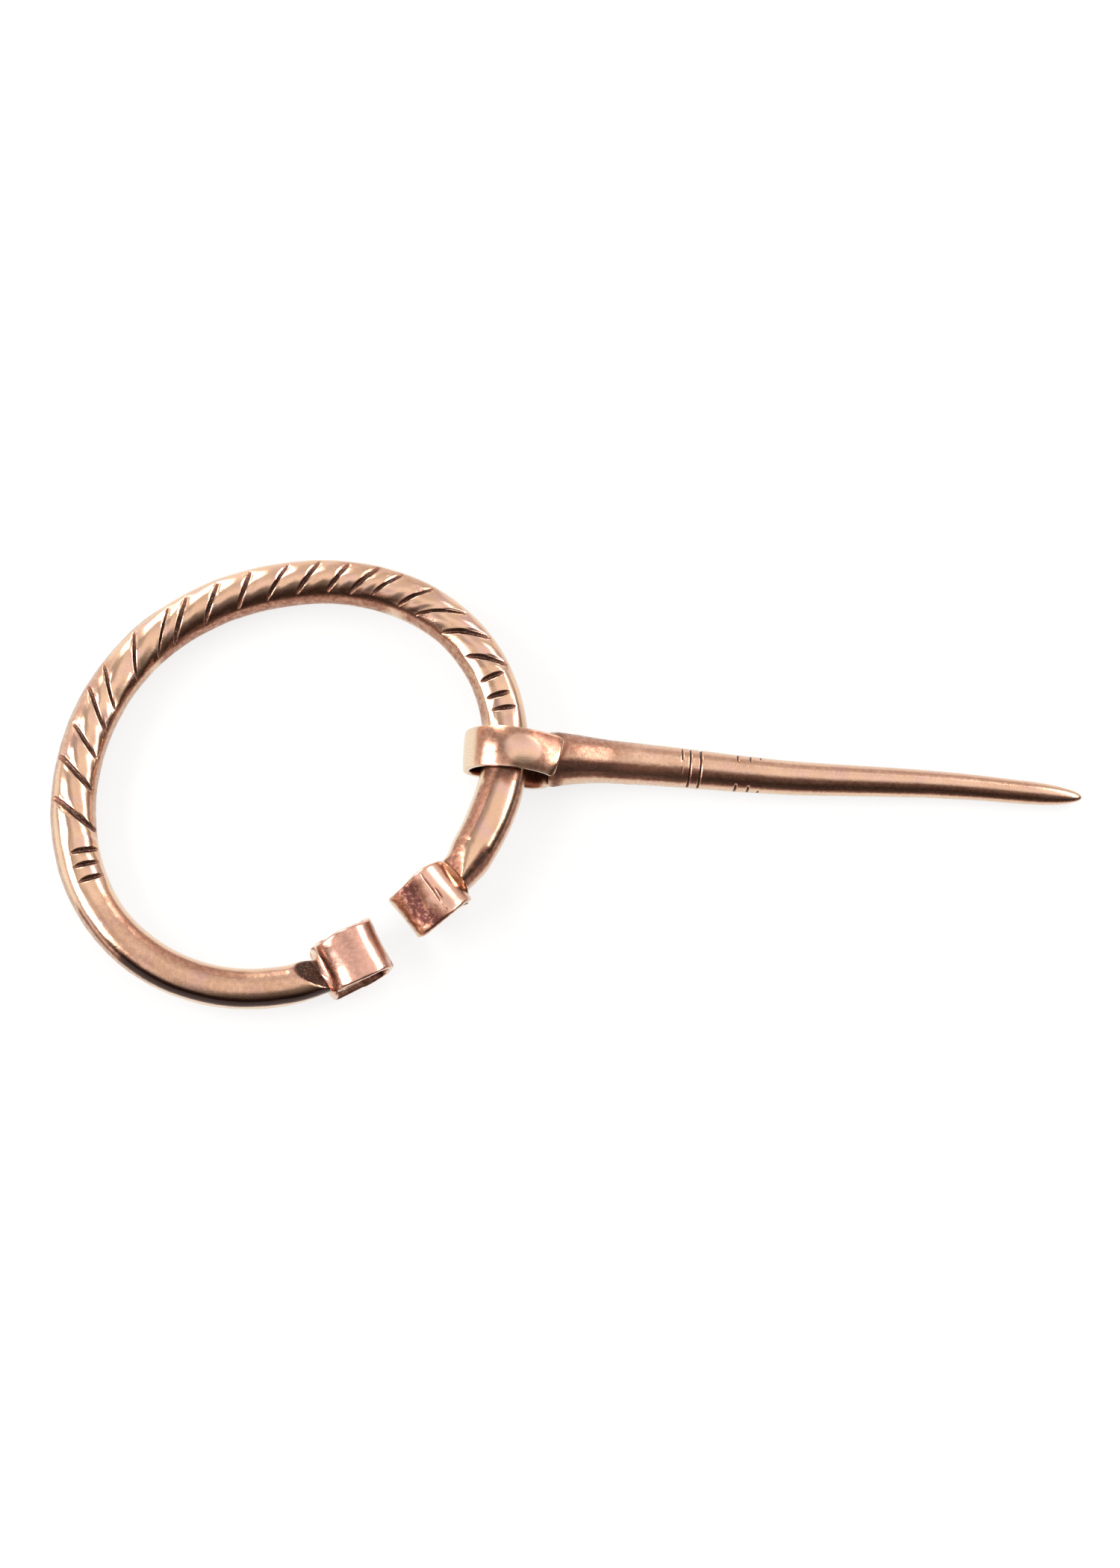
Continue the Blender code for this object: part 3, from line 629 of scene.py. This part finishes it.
def scroll_sweep(scroll, phi):
    """Rings from the neck to the free end of the roll."""
    ahead = Matrix.Rotation(scroll.heading, 3, "Z") @ Vector((1, 0, 0))
    first = neck_start(scroll)
    bar_end = Vector((*hoop_point(first), 0))
    base = Vector((*(hoop_point(scroll.start) + outward(scroll.start) * scroll.shift), 0))
    strip_up = Vector((0, 0, SCROLL_STRIP / 2 - bar_radius(scroll.start)))
    sweep = Sweep()

    def bar_slope(angle):
        return Vector((*hoop_slope(angle), 0)).normalized() * scroll.side

    def neck_spot(share):
        """Point of the smooth curve from the bar to the strip."""
        eased = share * share * (3 - 2 * share)
        return (bar_end.lerp(base, eased) + bar_slope(first) * scroll.neck * share * (1 - share) ** 2
                - bar_slope(scroll.start) * scroll.neck * share ** 2 * (1 - share))

    def ring(origin, forward, twist_share, across, along, up):
        turned = Matrix.Rotation(scroll.side * scroll.twist * twist_share, 3, forward)
        out = turned @ (Matrix.Rotation(-90 * DEG * scroll.side, 3, "Z") @ forward)
        rise = turned @ Vector((0, 0, 1))
        points = np.array(origin + strip_up) + np.outer(across, out)
        return points + np.outer(along, turned @ forward) + np.outer(up, rise)

    for index in range(1, NECK_RINGS + 1):
        share = index / NECK_RINGS
        angle = mix(first, scroll.start, share)
        blend = smooth(share, 0, 1)
        forward = bar_slope(angle).lerp(ahead, blend).normalized()
        neck_across, neck_up, dark, grain = neck_section(scroll, angle, share, phi)
        neck_up -= strip_up.z
        narrowed = neck_across * (1 - scroll.waist * smooth(share, 0.2, 0.8))
        neck_across = np.where(neck_across > 0, narrowed, neck_across)
        neck_across = neck_across * (1 - NECK_NARROWING * share ** 2) + scroll.slide * share ** 2
        points = ring(neck_spot(share), forward, blend, neck_across, np.zeros(len(phi)), neck_up)
        sweep.add(points, dark, grain)

    for turn, along, rise, pitch in scroll_stations(scroll):
        if turn == 0:
            across, along, up, dark, grain = lip_section(scroll, along, neck_across, neck_up, phi)
        else:
            across, up, dark, grain = roll_section(scroll, turn, phi)
        along = along - up * math.sin(pitch)
        points = ring(base, ahead, 1, across, along, rise + up * math.cos(pitch))
        sweep.add(points, dark, grain, scroll.rose)
    return sweep


def hoop_sweep():
    phi = ring_angles(BAR_SIDES)
    sweep = scroll_sweep(RIGHT_SCROLL, phi)
    sweep.reverse()
    angles, depths, darks = bar_grid(neck_start(RIGHT_SCROLL), neck_start(LEFT_SCROLL), phi)
    patina_and_shade, grains = bar_patina_and_shade(angles, phi)
    grains = np.maximum(grains, np.minimum(CUT_GRAIN * darks, 1))
    for row in zip(bar_points(angles, phi, depths), np.maximum(darks, patina_and_shade), grains):
        sweep.add(*row)
    sweep.extend(scroll_sweep(LEFT_SCROLL, phi))
    return sweep


# Pin, in the hinge frame: X outwards from the hoop, Y along the bar, Z up

def loop_half_height():
    return bar_radius(LOOP_ANGLE) + LOOP_CLEARANCE


def hinge_height():
    return loop_half_height() + LOOP_STRIP


def head_share(distance):
    share = (SHAFT_START - distance) / (SHAFT_START - LOOP_END_REACH)
    return min(max(share, 0), 1) ** HEAD_FLARE_POWER


def shaft_width(distance):
    taper = (distance - SHAFT_START) / (PIN_REACH - TIP_LENGTH - SHAFT_START)
    width = mix(SHAFT_WIDTH, SHAFT_END_WIDTH, min(taper, 1))
    return width + HEAD_FLARE * head_share(distance)


def shaft_height(distance):
    head = hinge_height() + loop_half_height() - LOOP_END_DROP - LOOP_END_GAP
    return mix(shaft_width(distance) * SHAFT_FLATNESS, head, head_share(distance))


def shaft_shrink(distance):
    share = max(0, (distance - PIN_REACH + TIP_LENGTH) / TIP_LENGTH)
    return math.sqrt(max(TIP_LEAST, 1 - share * share))


def shaft_side(distance):
    wave = math.cos(2 * math.pi * (distance - SHAFT_START) / SHAFT_WAVE_LENGTH)
    return SHAFT_OFFSET + math.tan(SHAFT_LEAN) * distance + SHAFT_WAVE * wave


def shaft_cut(distance, phi):
    """Depth and darkness of the lines and nicks at one distance from the bar."""
    depth, dark = np.zeros(len(phi)), np.zeros(len(phi))
    turn = wrapped(phi)
    for place, half_width, line_depth, start, end in SHAFT_LINES:
        offset = (distance - place * MM - SHAFT_LINE_LEAN * np.sin(turn)) / (half_width * MM)
        shown = window(turn, start * DEG, end * DEG, SHAFT_LINE_EDGE)
        inside = np.exp(-offset ** 2 * 1.2) * shown
        lip = np.exp(-((np.abs(offset) - 1.9) / 0.7) ** 2) * shown
        depth = np.maximum(depth, line_depth * MM * inside) - SHAFT_LINE_LIP * lip
        dark = np.maximum(dark, smooth(inside, 0.15, 0.6))
    return depth, dark


def shaft_ring(distance, phi):
    """Points of one ring of the shaft, and how dark its lines and nicks are."""
    width, height = shaft_width(distance), shaft_height(distance)
    shrink = shaft_shrink(distance)
    depth, dark = shaft_cut(distance, phi)
    ridge = SHAFT_RIDGE * smooth(distance, LOOP_END_REACH, SHAFT_RIDGE_REACH)
    out = (width / 2 * shrink - depth) * np.sin(phi)
    up = (height / 2 * shrink - depth) * np.cos(phi)
    lean = ridge * np.maximum(up, 0) * width / height
    out = np.where(out > 0, out * (1 - HEAD_NARROWING * head_share(distance)), out)
    side = shaft_side(distance) + out + lean * (1 - np.abs(np.sin(phi)))
    up = np.maximum(up, FLAT_SPOT_DEPTH - height / 2)
    points = np.stack([np.full(len(phi), distance), side, up + height / 2 - hinge_height()], -1)
    return points, dark


def shaft_distances():
    """Places of the shaft's rings, from tip to head: closer at the tip and over the lines."""
    tip = [PIN_REACH - TIP_LENGTH * (1 - math.cos(turn * DEG)) for turn in TIP_TURNS]
    count = round((PIN_REACH - TIP_LENGTH - LOOP_END_REACH) / PLAIN_SPACING)
    plain = np.linspace(LOOP_END_REACH, PIN_REACH - TIP_LENGTH, count)
    lines = []
    for place in sorted({line[0] * MM for line in SHAFT_LINES}):
        lines += list(np.arange(place - SHAFT_LINE_REACH, place + SHAFT_LINE_REACH, LINE_SPACING))
    kept = [distance for distance in plain
            if min(abs(distance - line) for line in lines) > LINE_SPACING]
    kept_lines = []
    for line in sorted(lines):
        if not kept_lines or line - kept_lines[-1] > LINE_SPACING / 2:
            kept_lines.append(line)
    return sorted(tip + kept + kept_lines, reverse=True)


def shaft_film_and_shade(distance, phi):
    """Darkness of the films on the head and along the shaft, of the painted shade on the flank facing
    the gap and of the painted shadow next to the loop's end.
    """
    north = smooth(np.sin(phi), -0.5, 0.25) * smooth(np.cos(phi), -0.2, 0.3)
    south = window(-wrapped(phi), *FLANK_SHADE_SPAN)
    band = window(wrapped(phi), *BAND_FILM_SPAN)
    along_shaft = smooth(distance, *HEAD_FILM_END)
    tip_fade = 1 - 0.5 * smooth(distance, PIN_REACH - TIP_LENGTH, PIN_REACH)
    north_film = HEAD_FILM * north * mix(1, SHAFT_FILM_SHARE, along_shaft)
    north_film = np.maximum(north_film, BAND_FILM * band * along_shaft)
    south_shade = FLANK_SHADE * south * mix(1, FLANK_SHADE_SHARE, along_shaft)
    crevice_shade = CREVICE_SHADE_DARK * (1 - smooth(distance - LOOP_END_REACH, *CREVICE_REACH))
    return np.maximum(np.maximum(north_film, south_shade) * tip_fade, crevice_shade)


def front_width(along):
    """Width of the strip and of the head that it widens into, by distance from the bar."""
    start, end = FRONT_CORNER
    corner = np.clip((end - along) / (end - start), 0, 1)
    return mix(LOOP_WIDTH, shaft_width(LOOP_END_REACH), np.sqrt(1 - corner ** 2))


def add_front(sweep, phi):
    """Rings of the head's front, which hollows under the loop's end and turns into the strip."""
    half = loop_half_height()
    centre = LOOP_OUTER_REACH - half
    head_top = shaft_height(LOOP_END_REACH) - hinge_height()
    first = math.asin(head_top / half)
    # Painted shade in the hollow under the loop's free end
    dark = 0.8 * smooth(np.cos(phi), 0.55, 0.8)
    for index in range(FRONT_RINGS + 1):
        share = index / FRONT_RINGS
        turn = mix(first, -90 * DEG, share)
        height = half * math.sin(turn) + hinge_height()
        top_along = centre + half * math.cos(turn)
        low_along = mix(LOOP_END_REACH - HEAD_LIP, centre, share)
        rise = superellipse(np.cos(phi), mix(ROUND, STRIP_FACES, share))
        rise = np.maximum(rise, 2 * FLAT_SPOT_DEPTH * (1 - share) / height - 1)
        level = (rise + 1) / 2
        along = mix(low_along, top_along, level)
        out = front_width(along) / 2 * superellipse(np.sin(phi), mix(ROUND, STRIP_EDGES, share))
        out = out * np.where(out > 0, mix(1 - HEAD_NARROWING, 1, share), 1)
        side = shaft_side(LOOP_OUTER_REACH) + out
        sweep.add(np.stack([along, side, level * height - hinge_height()], -1), dark, 0.4)


def loop_stations():
    """Middle line of the loop, side on, from under the bar to the free end: (along, up, heading)."""
    half = loop_half_height() + LOOP_STRIP / 2
    far = loop_half_height() - LOOP_INNER_REACH - half
    under_radius = 2 * half - LOOP_SHOULDER_RADIUS
    level = under_radius - half
    under_start = LOOP_OUTER_REACH - loop_half_height()
    under = np.linspace(under_start, far + under_radius, LOOP_UNDER_RINGS)[1:-1]
    places = [(along, -half, 180 * DEG) for along in under]
    bends = ((under_radius, -90, LOOP_BEND_RINGS), (LOOP_SHOULDER_RADIUS, -180, LOOP_SHOULDER_RINGS))
    for radius, start, rings in bends:
        for turn in np.linspace(start, start - 90, rings) * DEG:
            along = far + radius + radius * math.cos(turn)
            places.append((along, level + radius * math.sin(turn), turn - 90 * DEG))
        places.pop()
    top = far + LOOP_SHOULDER_RADIUS
    for share in 1 - (1 - np.linspace(0, 1, LOOP_TOP_RINGS)) ** 1.4:
        slope = 2 * LOOP_END_DROP * share / (LOOP_END_REACH - top)
        up = half - LOOP_END_DROP * share ** 2
        places.append((mix(top, LOOP_END_REACH, share), up, -math.atan(slope)))
    return places


def loop_section(along, share, phi):
    """The strip's section at a share of its length, narrower and thinner at its free end."""
    left = max(0, LOOP_END_REACH - along) if share > 0.6 else math.inf
    corner = max(0, 1 - left / LOOP_END_CORNER)
    blunt = max(0, 1 - left / (LOOP_STRIP / 3))
    strip_width = front_width(along) if share < 0.4 else LOOP_WIDTH
    width = strip_width - 2 * LOOP_END_CORNER * (1 - math.sqrt(1 - 0.98 * corner ** 2))
    thickness = LOOP_STRIP * math.sqrt(1 - 0.97 * blunt ** 2)
    return strip_section(width, thickness, phi, LOOP_CROWN * smooth(share, 0.3, 0.6))


def loop_finish(along, out, phi):
    """Darkness and grain of the loop: clean in one spot, browner at the corner by the shaft, with
    painted shade on its inner side.
    """
    middle_along, middle_out, half_along, half_out = LOOP_CLEAN
    worn = ((along - middle_along) / half_along) ** 2 + ((out - middle_out) / half_out) ** 2
    film = LOOP_FILM * smooth(worn, 0.8, 1.25) * window(along, -2.5 * MM, LOOP_END_REACH, 0.5 * MM)
    corner = smooth(out, -0.4 * MM, 1.1 * MM) * smooth(along, 1.2 * MM, 3 * MM)
    film = film * (1 + LOOP_CORNER_FILM * corner)
    # Painted shade on the inner side of the loop, round the bar
    inside = LOOP_INSIDE_SHADE * smooth(np.cos(phi), *INNER_SIDE)
    return np.maximum(inside, film * smooth(-np.cos(phi), 0.2, 0.6)), 0.12 + 0.15 * film


def add_loop(sweep, phi):
    """Rings of the strip from under the bar, round it and onto the shaft's head."""
    places = loop_stations()
    for index, (along, up, heading) in enumerate(places):
        share = (index + 1) / len(places)
        side = shaft_side(LOOP_OUTER_REACH) - LOOP_END_DRIFT * share ** 2
        end_slant = math.tan(LOOP_END_SLANT) * smooth(share, 0.8, 1)
        out, rise = loop_section(along, share, phi)
        across = along + math.sin(heading) * rise + end_slant * out
        points = np.stack([across, side + out, up - math.cos(heading) * rise], -1)
        sweep.add(points, *loop_finish(along, out, phi))


def pin_sweep():
    phi = ring_angles(PIN_SIDES)
    sweep = Sweep()
    for distance in shaft_distances():
        points, dark = shaft_ring(distance, phi)
        grain = 0.4 + 0.4 * (1 - smooth(distance, *HEAD_GRAIN_END))
        sweep.add(points, np.maximum(dark, shaft_film_and_shade(distance, phi)), grain)
    add_front(sweep, phi)
    add_loop(sweep, phi)
    return sweep


# Meshes

def add_object(name, data):
    added = bpy.data.objects.new(name, data)
    bpy.context.scene.collection.objects.link(added)
    return added


def grid_normals(points):
    """Outward normals of a tube of rings, from the differences between neighbouring points."""
    along = np.gradient(points, axis=0)
    around = np.roll(points, -1, axis=1) - np.roll(points, 1, axis=1)
    return unit(np.cross(around, along))


def wobble(points, size, amount, seed):
    """Soft unevenness: one number for each point, from about -amount to amount."""
    offset = Vector((seed * 7.3, seed * 3.1, seed * 5.7))
    values = [noise.noise(Vector(place) + offset) for place in points.reshape(-1, 3) / size]
    return amount * np.array(values).reshape(points.shape[:-1])


def steepness(normals):
    """Degrees that each place leans away from facing up."""
    return np.arccos(np.clip(normals[..., 2], -1, 1)) / DEG


def painted_flank_shade(normals):
    """Painted shade on the underside and on the flanks that face the gap of the hoop."""
    steep = steepness(normals)
    facing = smooth(unit(normals[..., :2]) @ GAP_SIDE, 0, 0.7)
    band = smooth(steep, 36, 50) * (1 - 0.92 * smooth(steep, 52, 67))
    return np.maximum(GAP_SIDE_SHADE * facing * band, UNDER_SHADE * smooth(steep, 95, 115))


def painted_rim_reflection(normals):
    """Painted reflection of the pale table: a cream edge where the flanks turn steep; towards the gap it
    is faint, except on end faces.
    """
    steep = steepness(normals)
    facing = smooth(normals[..., :2] @ GAP_SIDE, 0, 0.7) * (1 - smooth(steep, 74, 86))
    return smooth(steep, 42, 70) * (1 - smooth(steep, 95, 110)) * mix(0.9, 0.4, facing)


def tube_faces(rings, sides):
    """Faces of a tube of rings, closed at both ends."""
    first = np.arange(rings - 1)[:, None] * sides
    side = np.arange(sides)
    following = (side + 1) % sides
    corners = [first + side, first + following, first + sides + following, first + sides + side]
    ends = [range(sides)[::-1], range((rings - 1) * sides, rings * sides)]
    return np.stack(corners, -1).reshape(-1, 4).tolist() + ends


def make_tube(name, sweep, to_world, bumps, material):
    """One closed, smooth-shaded mesh from a sweep, with its unevenness."""
    points, dark, grain, rose = (np.array(rings) for rings in zip(*sweep))
    normals = grid_normals(points)
    raised = sum(wobble(points, size, amount, seed) for size, amount, seed in bumps)
    raised += np.maximum(grain - GRAIN_BUMPS_FROM, 0) * wobble(points, *GRAIN_BUMPS)
    rotation = np.array(to_world.to_3x3())
    points = (points + normals * raised[..., None]) @ rotation.T + np.array(to_world.translation)
    points[..., 2] = np.maximum(points[..., 2], 0)
    turned = normals @ rotation.T
    # The darkness gains painted shade on the underside and on the flanks facing the gap; the rim value
    # is a painted reflection on steep edges
    attributes = {"dark": np.maximum(dark, painted_flank_shade(turned)), "grain": grain,
                  "rim": painted_rim_reflection(turned), "rose": rose}

    mesh = bpy.data.meshes.new(name)
    mesh.from_pydata(points.reshape(-1, 3).tolist(), [], tube_faces(*points.shape[:2]))
    for key, values in attributes.items():
        layer = mesh.attributes.new(key, "FLOAT", "POINT")
        layer.data.foreach_set("value", values.reshape(-1).astype(np.float32))
    mesh.materials.append(material)
    mesh.shade_smooth()
    mesh.validate()
    return add_object(name, mesh)


# Materials

class Nodes:
    """Adds, feeds and links shader nodes."""

    def __init__(self, tree):
        self.tree = tree

    def feed(self, node, inputs):
        """Link each input of a node, or set it where it is constant."""
        for key, value in inputs.items():
            if isinstance(value, bpy.types.NodeSocket):
                self.tree.links.new(value, node.inputs[key])
            else:
                node.inputs[key].default_value = value

    def add(self, kind, inputs=(), **settings):
        node = self.tree.nodes.new(kind)
        for key, value in settings.items():
            setattr(node, key, value)
        self.feed(node, dict(inputs))
        return node

    def noise(self, vector, scale, detail=3, roughness=0.5):
        inputs = {"Vector": vector, "Scale": scale, "Detail": detail, "Roughness": roughness}
        return self.add("ShaderNodeTexNoise", inputs).outputs["Fac"]

    def ranged(self, value, low, high, to_low=0, to_high=1, **settings):
        inputs = {"Value": value, "From Min": low, "From Max": high, "To Min": to_low, "To Max": to_high}
        return self.add("ShaderNodeMapRange", inputs, **settings).outputs["Result"]

    def combine(self, operation, first, second):
        return self.add("ShaderNodeMath", {0: first, 1: second}, operation=operation).outputs[0]

    times = partialmethod(combine, "MULTIPLY")
    plus = partialmethod(combine, "ADD")
    minus = partialmethod(combine, "SUBTRACT")
    larger = partialmethod(combine, "MAXIMUM")

    def blend(self, share, first, second):
        inputs = {0: share, 6: first, 7: second}
        return self.add("ShaderNodeMix", inputs, data_type="RGBA").outputs[2]

    def attribute(self, name):
        return self.add("ShaderNodeAttribute", attribute_name=name).outputs["Fac"]

    def stretched(self, vector, turn, scale):
        inputs = {"Vector": vector, "Rotation": (0, 0, turn), "Scale": scale}
        return self.add("ShaderNodeMapping", inputs).outputs["Vector"]


def patina_shade(nodes, at):
    """How dark each place is in the end: the point's own darkness, which holds patina and painted shade,
    mottled and granular.
    """
    half_dark = nodes.times(at.dark, nodes.minus(1, at.dark))
    mottle = nodes.times(half_dark, nodes.times(nodes.minus(at.coarse, 0.5), 3.2))
    worn = nodes.ranged(at.coarse, 0.38, 0.52, -0.42, 0.1)
    mottle = nodes.plus(mottle, nodes.times(nodes.times(at.rose, at.dark), worn))
    gaps = nodes.ranged(at.fine, 0.46, 0.64, 0, -0.3)
    granular = nodes.times(nodes.ranged(at.grain, 0.75, 0.95), gaps)
    return nodes.plus(nodes.plus(at.dark, mottle), nodes.times(granular, at.dark))


def bronze_colour(nodes, at, light, deep, pink):
    """Cloudy metal, cream rims of painted reflection, brown freckles, patina with painted shade, and
    painted glints in what is dark and grainy.
    """
    cloud = nodes.ranged(nodes.noise(at.place, CLOUDS), 0.36, 0.64)
    blush = nodes.ranged(nodes.noise(at.place, BLUSH, 2), 0.5, 0.7)
    colour = nodes.blend(cloud, light, deep)
    colour = nodes.blend(blush, colour, pink)
    colour = nodes.blend(at.rose, colour, ROSE)
    # Painted reflection: cream on the steep rims
    colour = nodes.blend(nodes.times(at.rim, nodes.ranged(at.fine, 0.3, 0.65, 1, 0.6)), colour, RIM_REFLECTION_CREAM)

    specks = nodes.plus(nodes.times(at.grain, 0.6), nodes.times(at.rim, 0.15))
    freckles = nodes.times(nodes.ranged(at.fine, 0.52, 0.62), specks)
    colour = nodes.blend(freckles, colour, FRECKLE)
    # Browner and darker by the darkness, which holds patina and painted shade
    colour = nodes.blend(nodes.ranged(at.shade, 0, 0.5), colour, BROWN)
    darkest = nodes.blend(at.rose, SOOT_AND_SHADE, WINE)
    colour = nodes.blend(nodes.ranged(at.shade, 0.45, 1), colour, darkest)

    # Painted glints: light specks of painted highlight in what is dark and grainy
    glint_dots = nodes.add("ShaderNodeTexVoronoi", {"Vector": at.place, "Scale": GLINT_DOT_SCALE}).outputs["Distance"]
    painted_glint = nodes.times(nodes.ranged(glint_dots, 0.34, 0.24), nodes.ranged(at.fine, 0.46, 0.54))
    painted_glint = nodes.times(painted_glint, nodes.ranged(at.coarse, 0.46, 0.56, 0, 0.75))
    dark_grain = nodes.times(nodes.ranged(at.shade, 0.6, 1), nodes.ranged(at.grain, 0.75, 0.95))
    return nodes.blend(nodes.times(painted_glint, dark_grain), colour, light)


def bronze_roughness(nodes, at, roughness):
    """Duller where the metal is grainy or dark."""
    rough = nodes.ranged(at.fine, 0.3, 0.7, roughness - 0.04, roughness + 0.06)
    rough = nodes.plus(rough, nodes.times(at.grain, 0.16))
    dull = nodes.ranged(at.grain, 0.2, 0.7, 0.06, 0.28)
    return nodes.plus(rough, nodes.times(nodes.ranged(at.shade, 0.3, 1), dull))


def bronze_bump(nodes, at):
    """Grain and fine scratches in two directions."""
    first, second = (nodes.noise(nodes.stretched(at.place, *lines), 1, 2) for lines in SCRATCHES)
    coarse = nodes.times(at.coarse, nodes.plus(nodes.times(at.grain, 1.3), 0.1))
    fine = nodes.times(at.fine, nodes.plus(nodes.times(at.grain, 0.6), 0.15))
    height = nodes.plus(nodes.plus(coarse, fine), nodes.times(nodes.plus(first, second), 0.07))
    inputs = {"Height": height, "Strength": 0.55, "Distance": BUMP_HEIGHT}
    return nodes.add("ShaderNodeBump", inputs).outputs["Normal"]


def make_bronze(name, light, deep, pink, roughness):
    """Worn bronze, which reads the darkness (patina and painted shade), grain, painted rim reflection
    and rose of the mesh's points.
    """
    material = bpy.data.materials.new(name)
    material.use_nodes = True
    nodes = Nodes(material.node_tree)
    place = nodes.add("ShaderNodeTexCoord").outputs["Object"]
    at = SimpleNamespace(place=place, fine=nodes.noise(place, FINE, 4, 0.65),
                         coarse=nodes.noise(place, COARSE, 4, 0.6))
    for key in ("dark", "grain", "rim", "rose"):
        setattr(at, key, nodes.attribute(key))
    at.shade = patina_shade(nodes, at)
    nodes.feed(material.node_tree.nodes["Principled BSDF"], {
        "Base Color": bronze_colour(nodes, at, light, deep, pink), "Metallic": 1,
        "Roughness": bronze_roughness(nodes, at, roughness), "Normal": bronze_bump(nodes, at)})
    return material


# Studio

def towards(azimuth, elevation):
    """Direction from the object, azimuth anticlockwise from +X."""
    azimuth, elevation = azimuth * DEG, elevation * DEG
    return Vector((math.cos(elevation) * math.cos(azimuth), math.cos(elevation) * math.sin(azimuth),
                   math.sin(elevation)))


def make_softbox(name, azimuth, elevation, width, height, radiance, colour=(1, 1, 1)):
    """Rectangular light whose width and height are given as angles seen from the object."""
    data = bpy.data.lights.new(name, "AREA")
    data.shape = "RECTANGLE"
    data.size = 2 * SOFTBOX_DISTANCE * math.tan(width * DEG / 2)
    data.size_y = 2 * SOFTBOX_DISTANCE * math.tan(height * DEG / 2)
    data.energy = radiance * 4 * data.size * data.size_y
    data.color = colour
    light = add_object(name, data)
    direction = towards(azimuth, elevation)
    light.location = direction * SOFTBOX_DISTANCE
    light.rotation_euler = direction.to_track_quat("Z", "Y").to_euler()


def make_world():
    """Room light that is dark towards the viewer's side and softly bright overhead and behind."""
    world = bpy.data.worlds.new("studio")
    bpy.context.scene.world = world
    world.use_nodes = True
    nodes = Nodes(world.node_tree)
    direction = nodes.add("ShaderNodeTexCoord").outputs["Generated"]

    def patch(azimuth, elevation, inner, outer, amount):
        inputs = {0: direction, 1: towards(azimuth, elevation)}
        facing = nodes.add("ShaderNodeVectorMath", inputs, operation="DOT_PRODUCT").outputs["Value"]
        edge, whole = math.cos(outer * DEG), math.cos(inner * DEG)
        return nodes.ranged(facing, edge, whole, 0, amount, interpolation_type="SMOOTHSTEP")

    level = patch(*ROOM_SKY)
    for shade in ROOM_SHADES:
        level = nodes.times(level, nodes.minus(1, patch(*shade)))
    level = nodes.larger(level, patch(*ROOM_GLOW))
    nodes.feed(world.node_tree.nodes["Background"], {
        "Color": nodes.blend(level, ROOM_DARK, ROOM_LIGHT), "Strength": ROOM_STRENGTH})


def make_camera():
    data = bpy.data.cameras.new("camera")
    data.sensor_width = SENSOR
    data.lens = SENSOR * CAMERA_DISTANCE / PICTURE_HEIGHT
    data.clip_start = 0.01
    camera = add_object("camera", data)
    right = Vector((0, 1, 0)).cross(VIEW_DIRECTION).normalized()
    up = VIEW_DIRECTION.cross(right)
    rotation = Matrix((right, up, VIEW_DIRECTION)).transposed()
    place = Matrix.Translation(AIM + VIEW_DIRECTION * CAMERA_DISTANCE)
    camera.matrix_world = place @ rotation.to_4x4()
    bpy.context.scene.camera = camera


def make_floor():
    """Pale table that glows a little, so that the brooch casts a faint shadow."""
    mesh = bpy.data.meshes.new("floor")
    corners = [(x * FLOOR_HALF, y * FLOOR_HALF, 0) for x, y in ((-1, -1), (1, -1), (1, 1), (-1, 1))]
    mesh.from_pydata(corners, [], [(0, 1, 2, 3)])
    material = bpy.data.materials.new("floor_paper")
    material.use_nodes = True
    Nodes(material.node_tree).feed(material.node_tree.nodes["Principled BSDF"], FLOOR_PAPER)
    mesh.materials.append(material)
    floor = add_object("floor", mesh)


def own_frames(joint):
    """Where the hoop's and the pin's own frames stand in the world, from the record's hinge."""
    axis = Vector(joint["axis"])
    heading = math.atan2(axis.x, -axis.y)
    pin_to_world = Matrix.Translation(Vector(joint["pos_m"])) @ Matrix.Rotation(heading, 4, "Z")
    loop_spot = Vector((*hoop_point(LOOP_ANGLE), 0))
    tilt = Matrix.Rotation(-HOOP_TILT, 4, "Y") @ Matrix.Rotation(-heading, 4, "Z")
    return pin_to_world @ tilt @ Matrix.Translation(-loop_spot), pin_to_world


def main():
    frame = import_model()
    hoop_to_world, pin_to_world = own_frames(frame["record"]["behaviour"]["joints"][0])

    copper = make_bronze("hoop_bronze_worn", **HOOP_METAL)
    hoop = make_tube("hoop_dressed", hoop_sweep(), hoop_to_world, HOOP_BUMPS, copper)
    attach(hoop, "hoop")
    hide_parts("hoop")

    golden = make_bronze("pin_bronze_worn", **PIN_METAL)
    pin = make_tube("pin_dressed", pin_sweep(), pin_to_world, PIN_BUMPS, golden)
    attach(pin, "pin")
    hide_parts("pin")

    make_floor()
    make_world()
    make_softbox("west_box", 184, 30, 44, 28, 9)
    make_softbox("north_west_box", 114, 19, 22, 30, 4, (1, 0.97, 0.92))
    make_softbox("east_strip", 23, 38, 52, 11, 7)
    make_camera()
    bpy.context.scene.view_settings.view_transform = "Standard"


main()
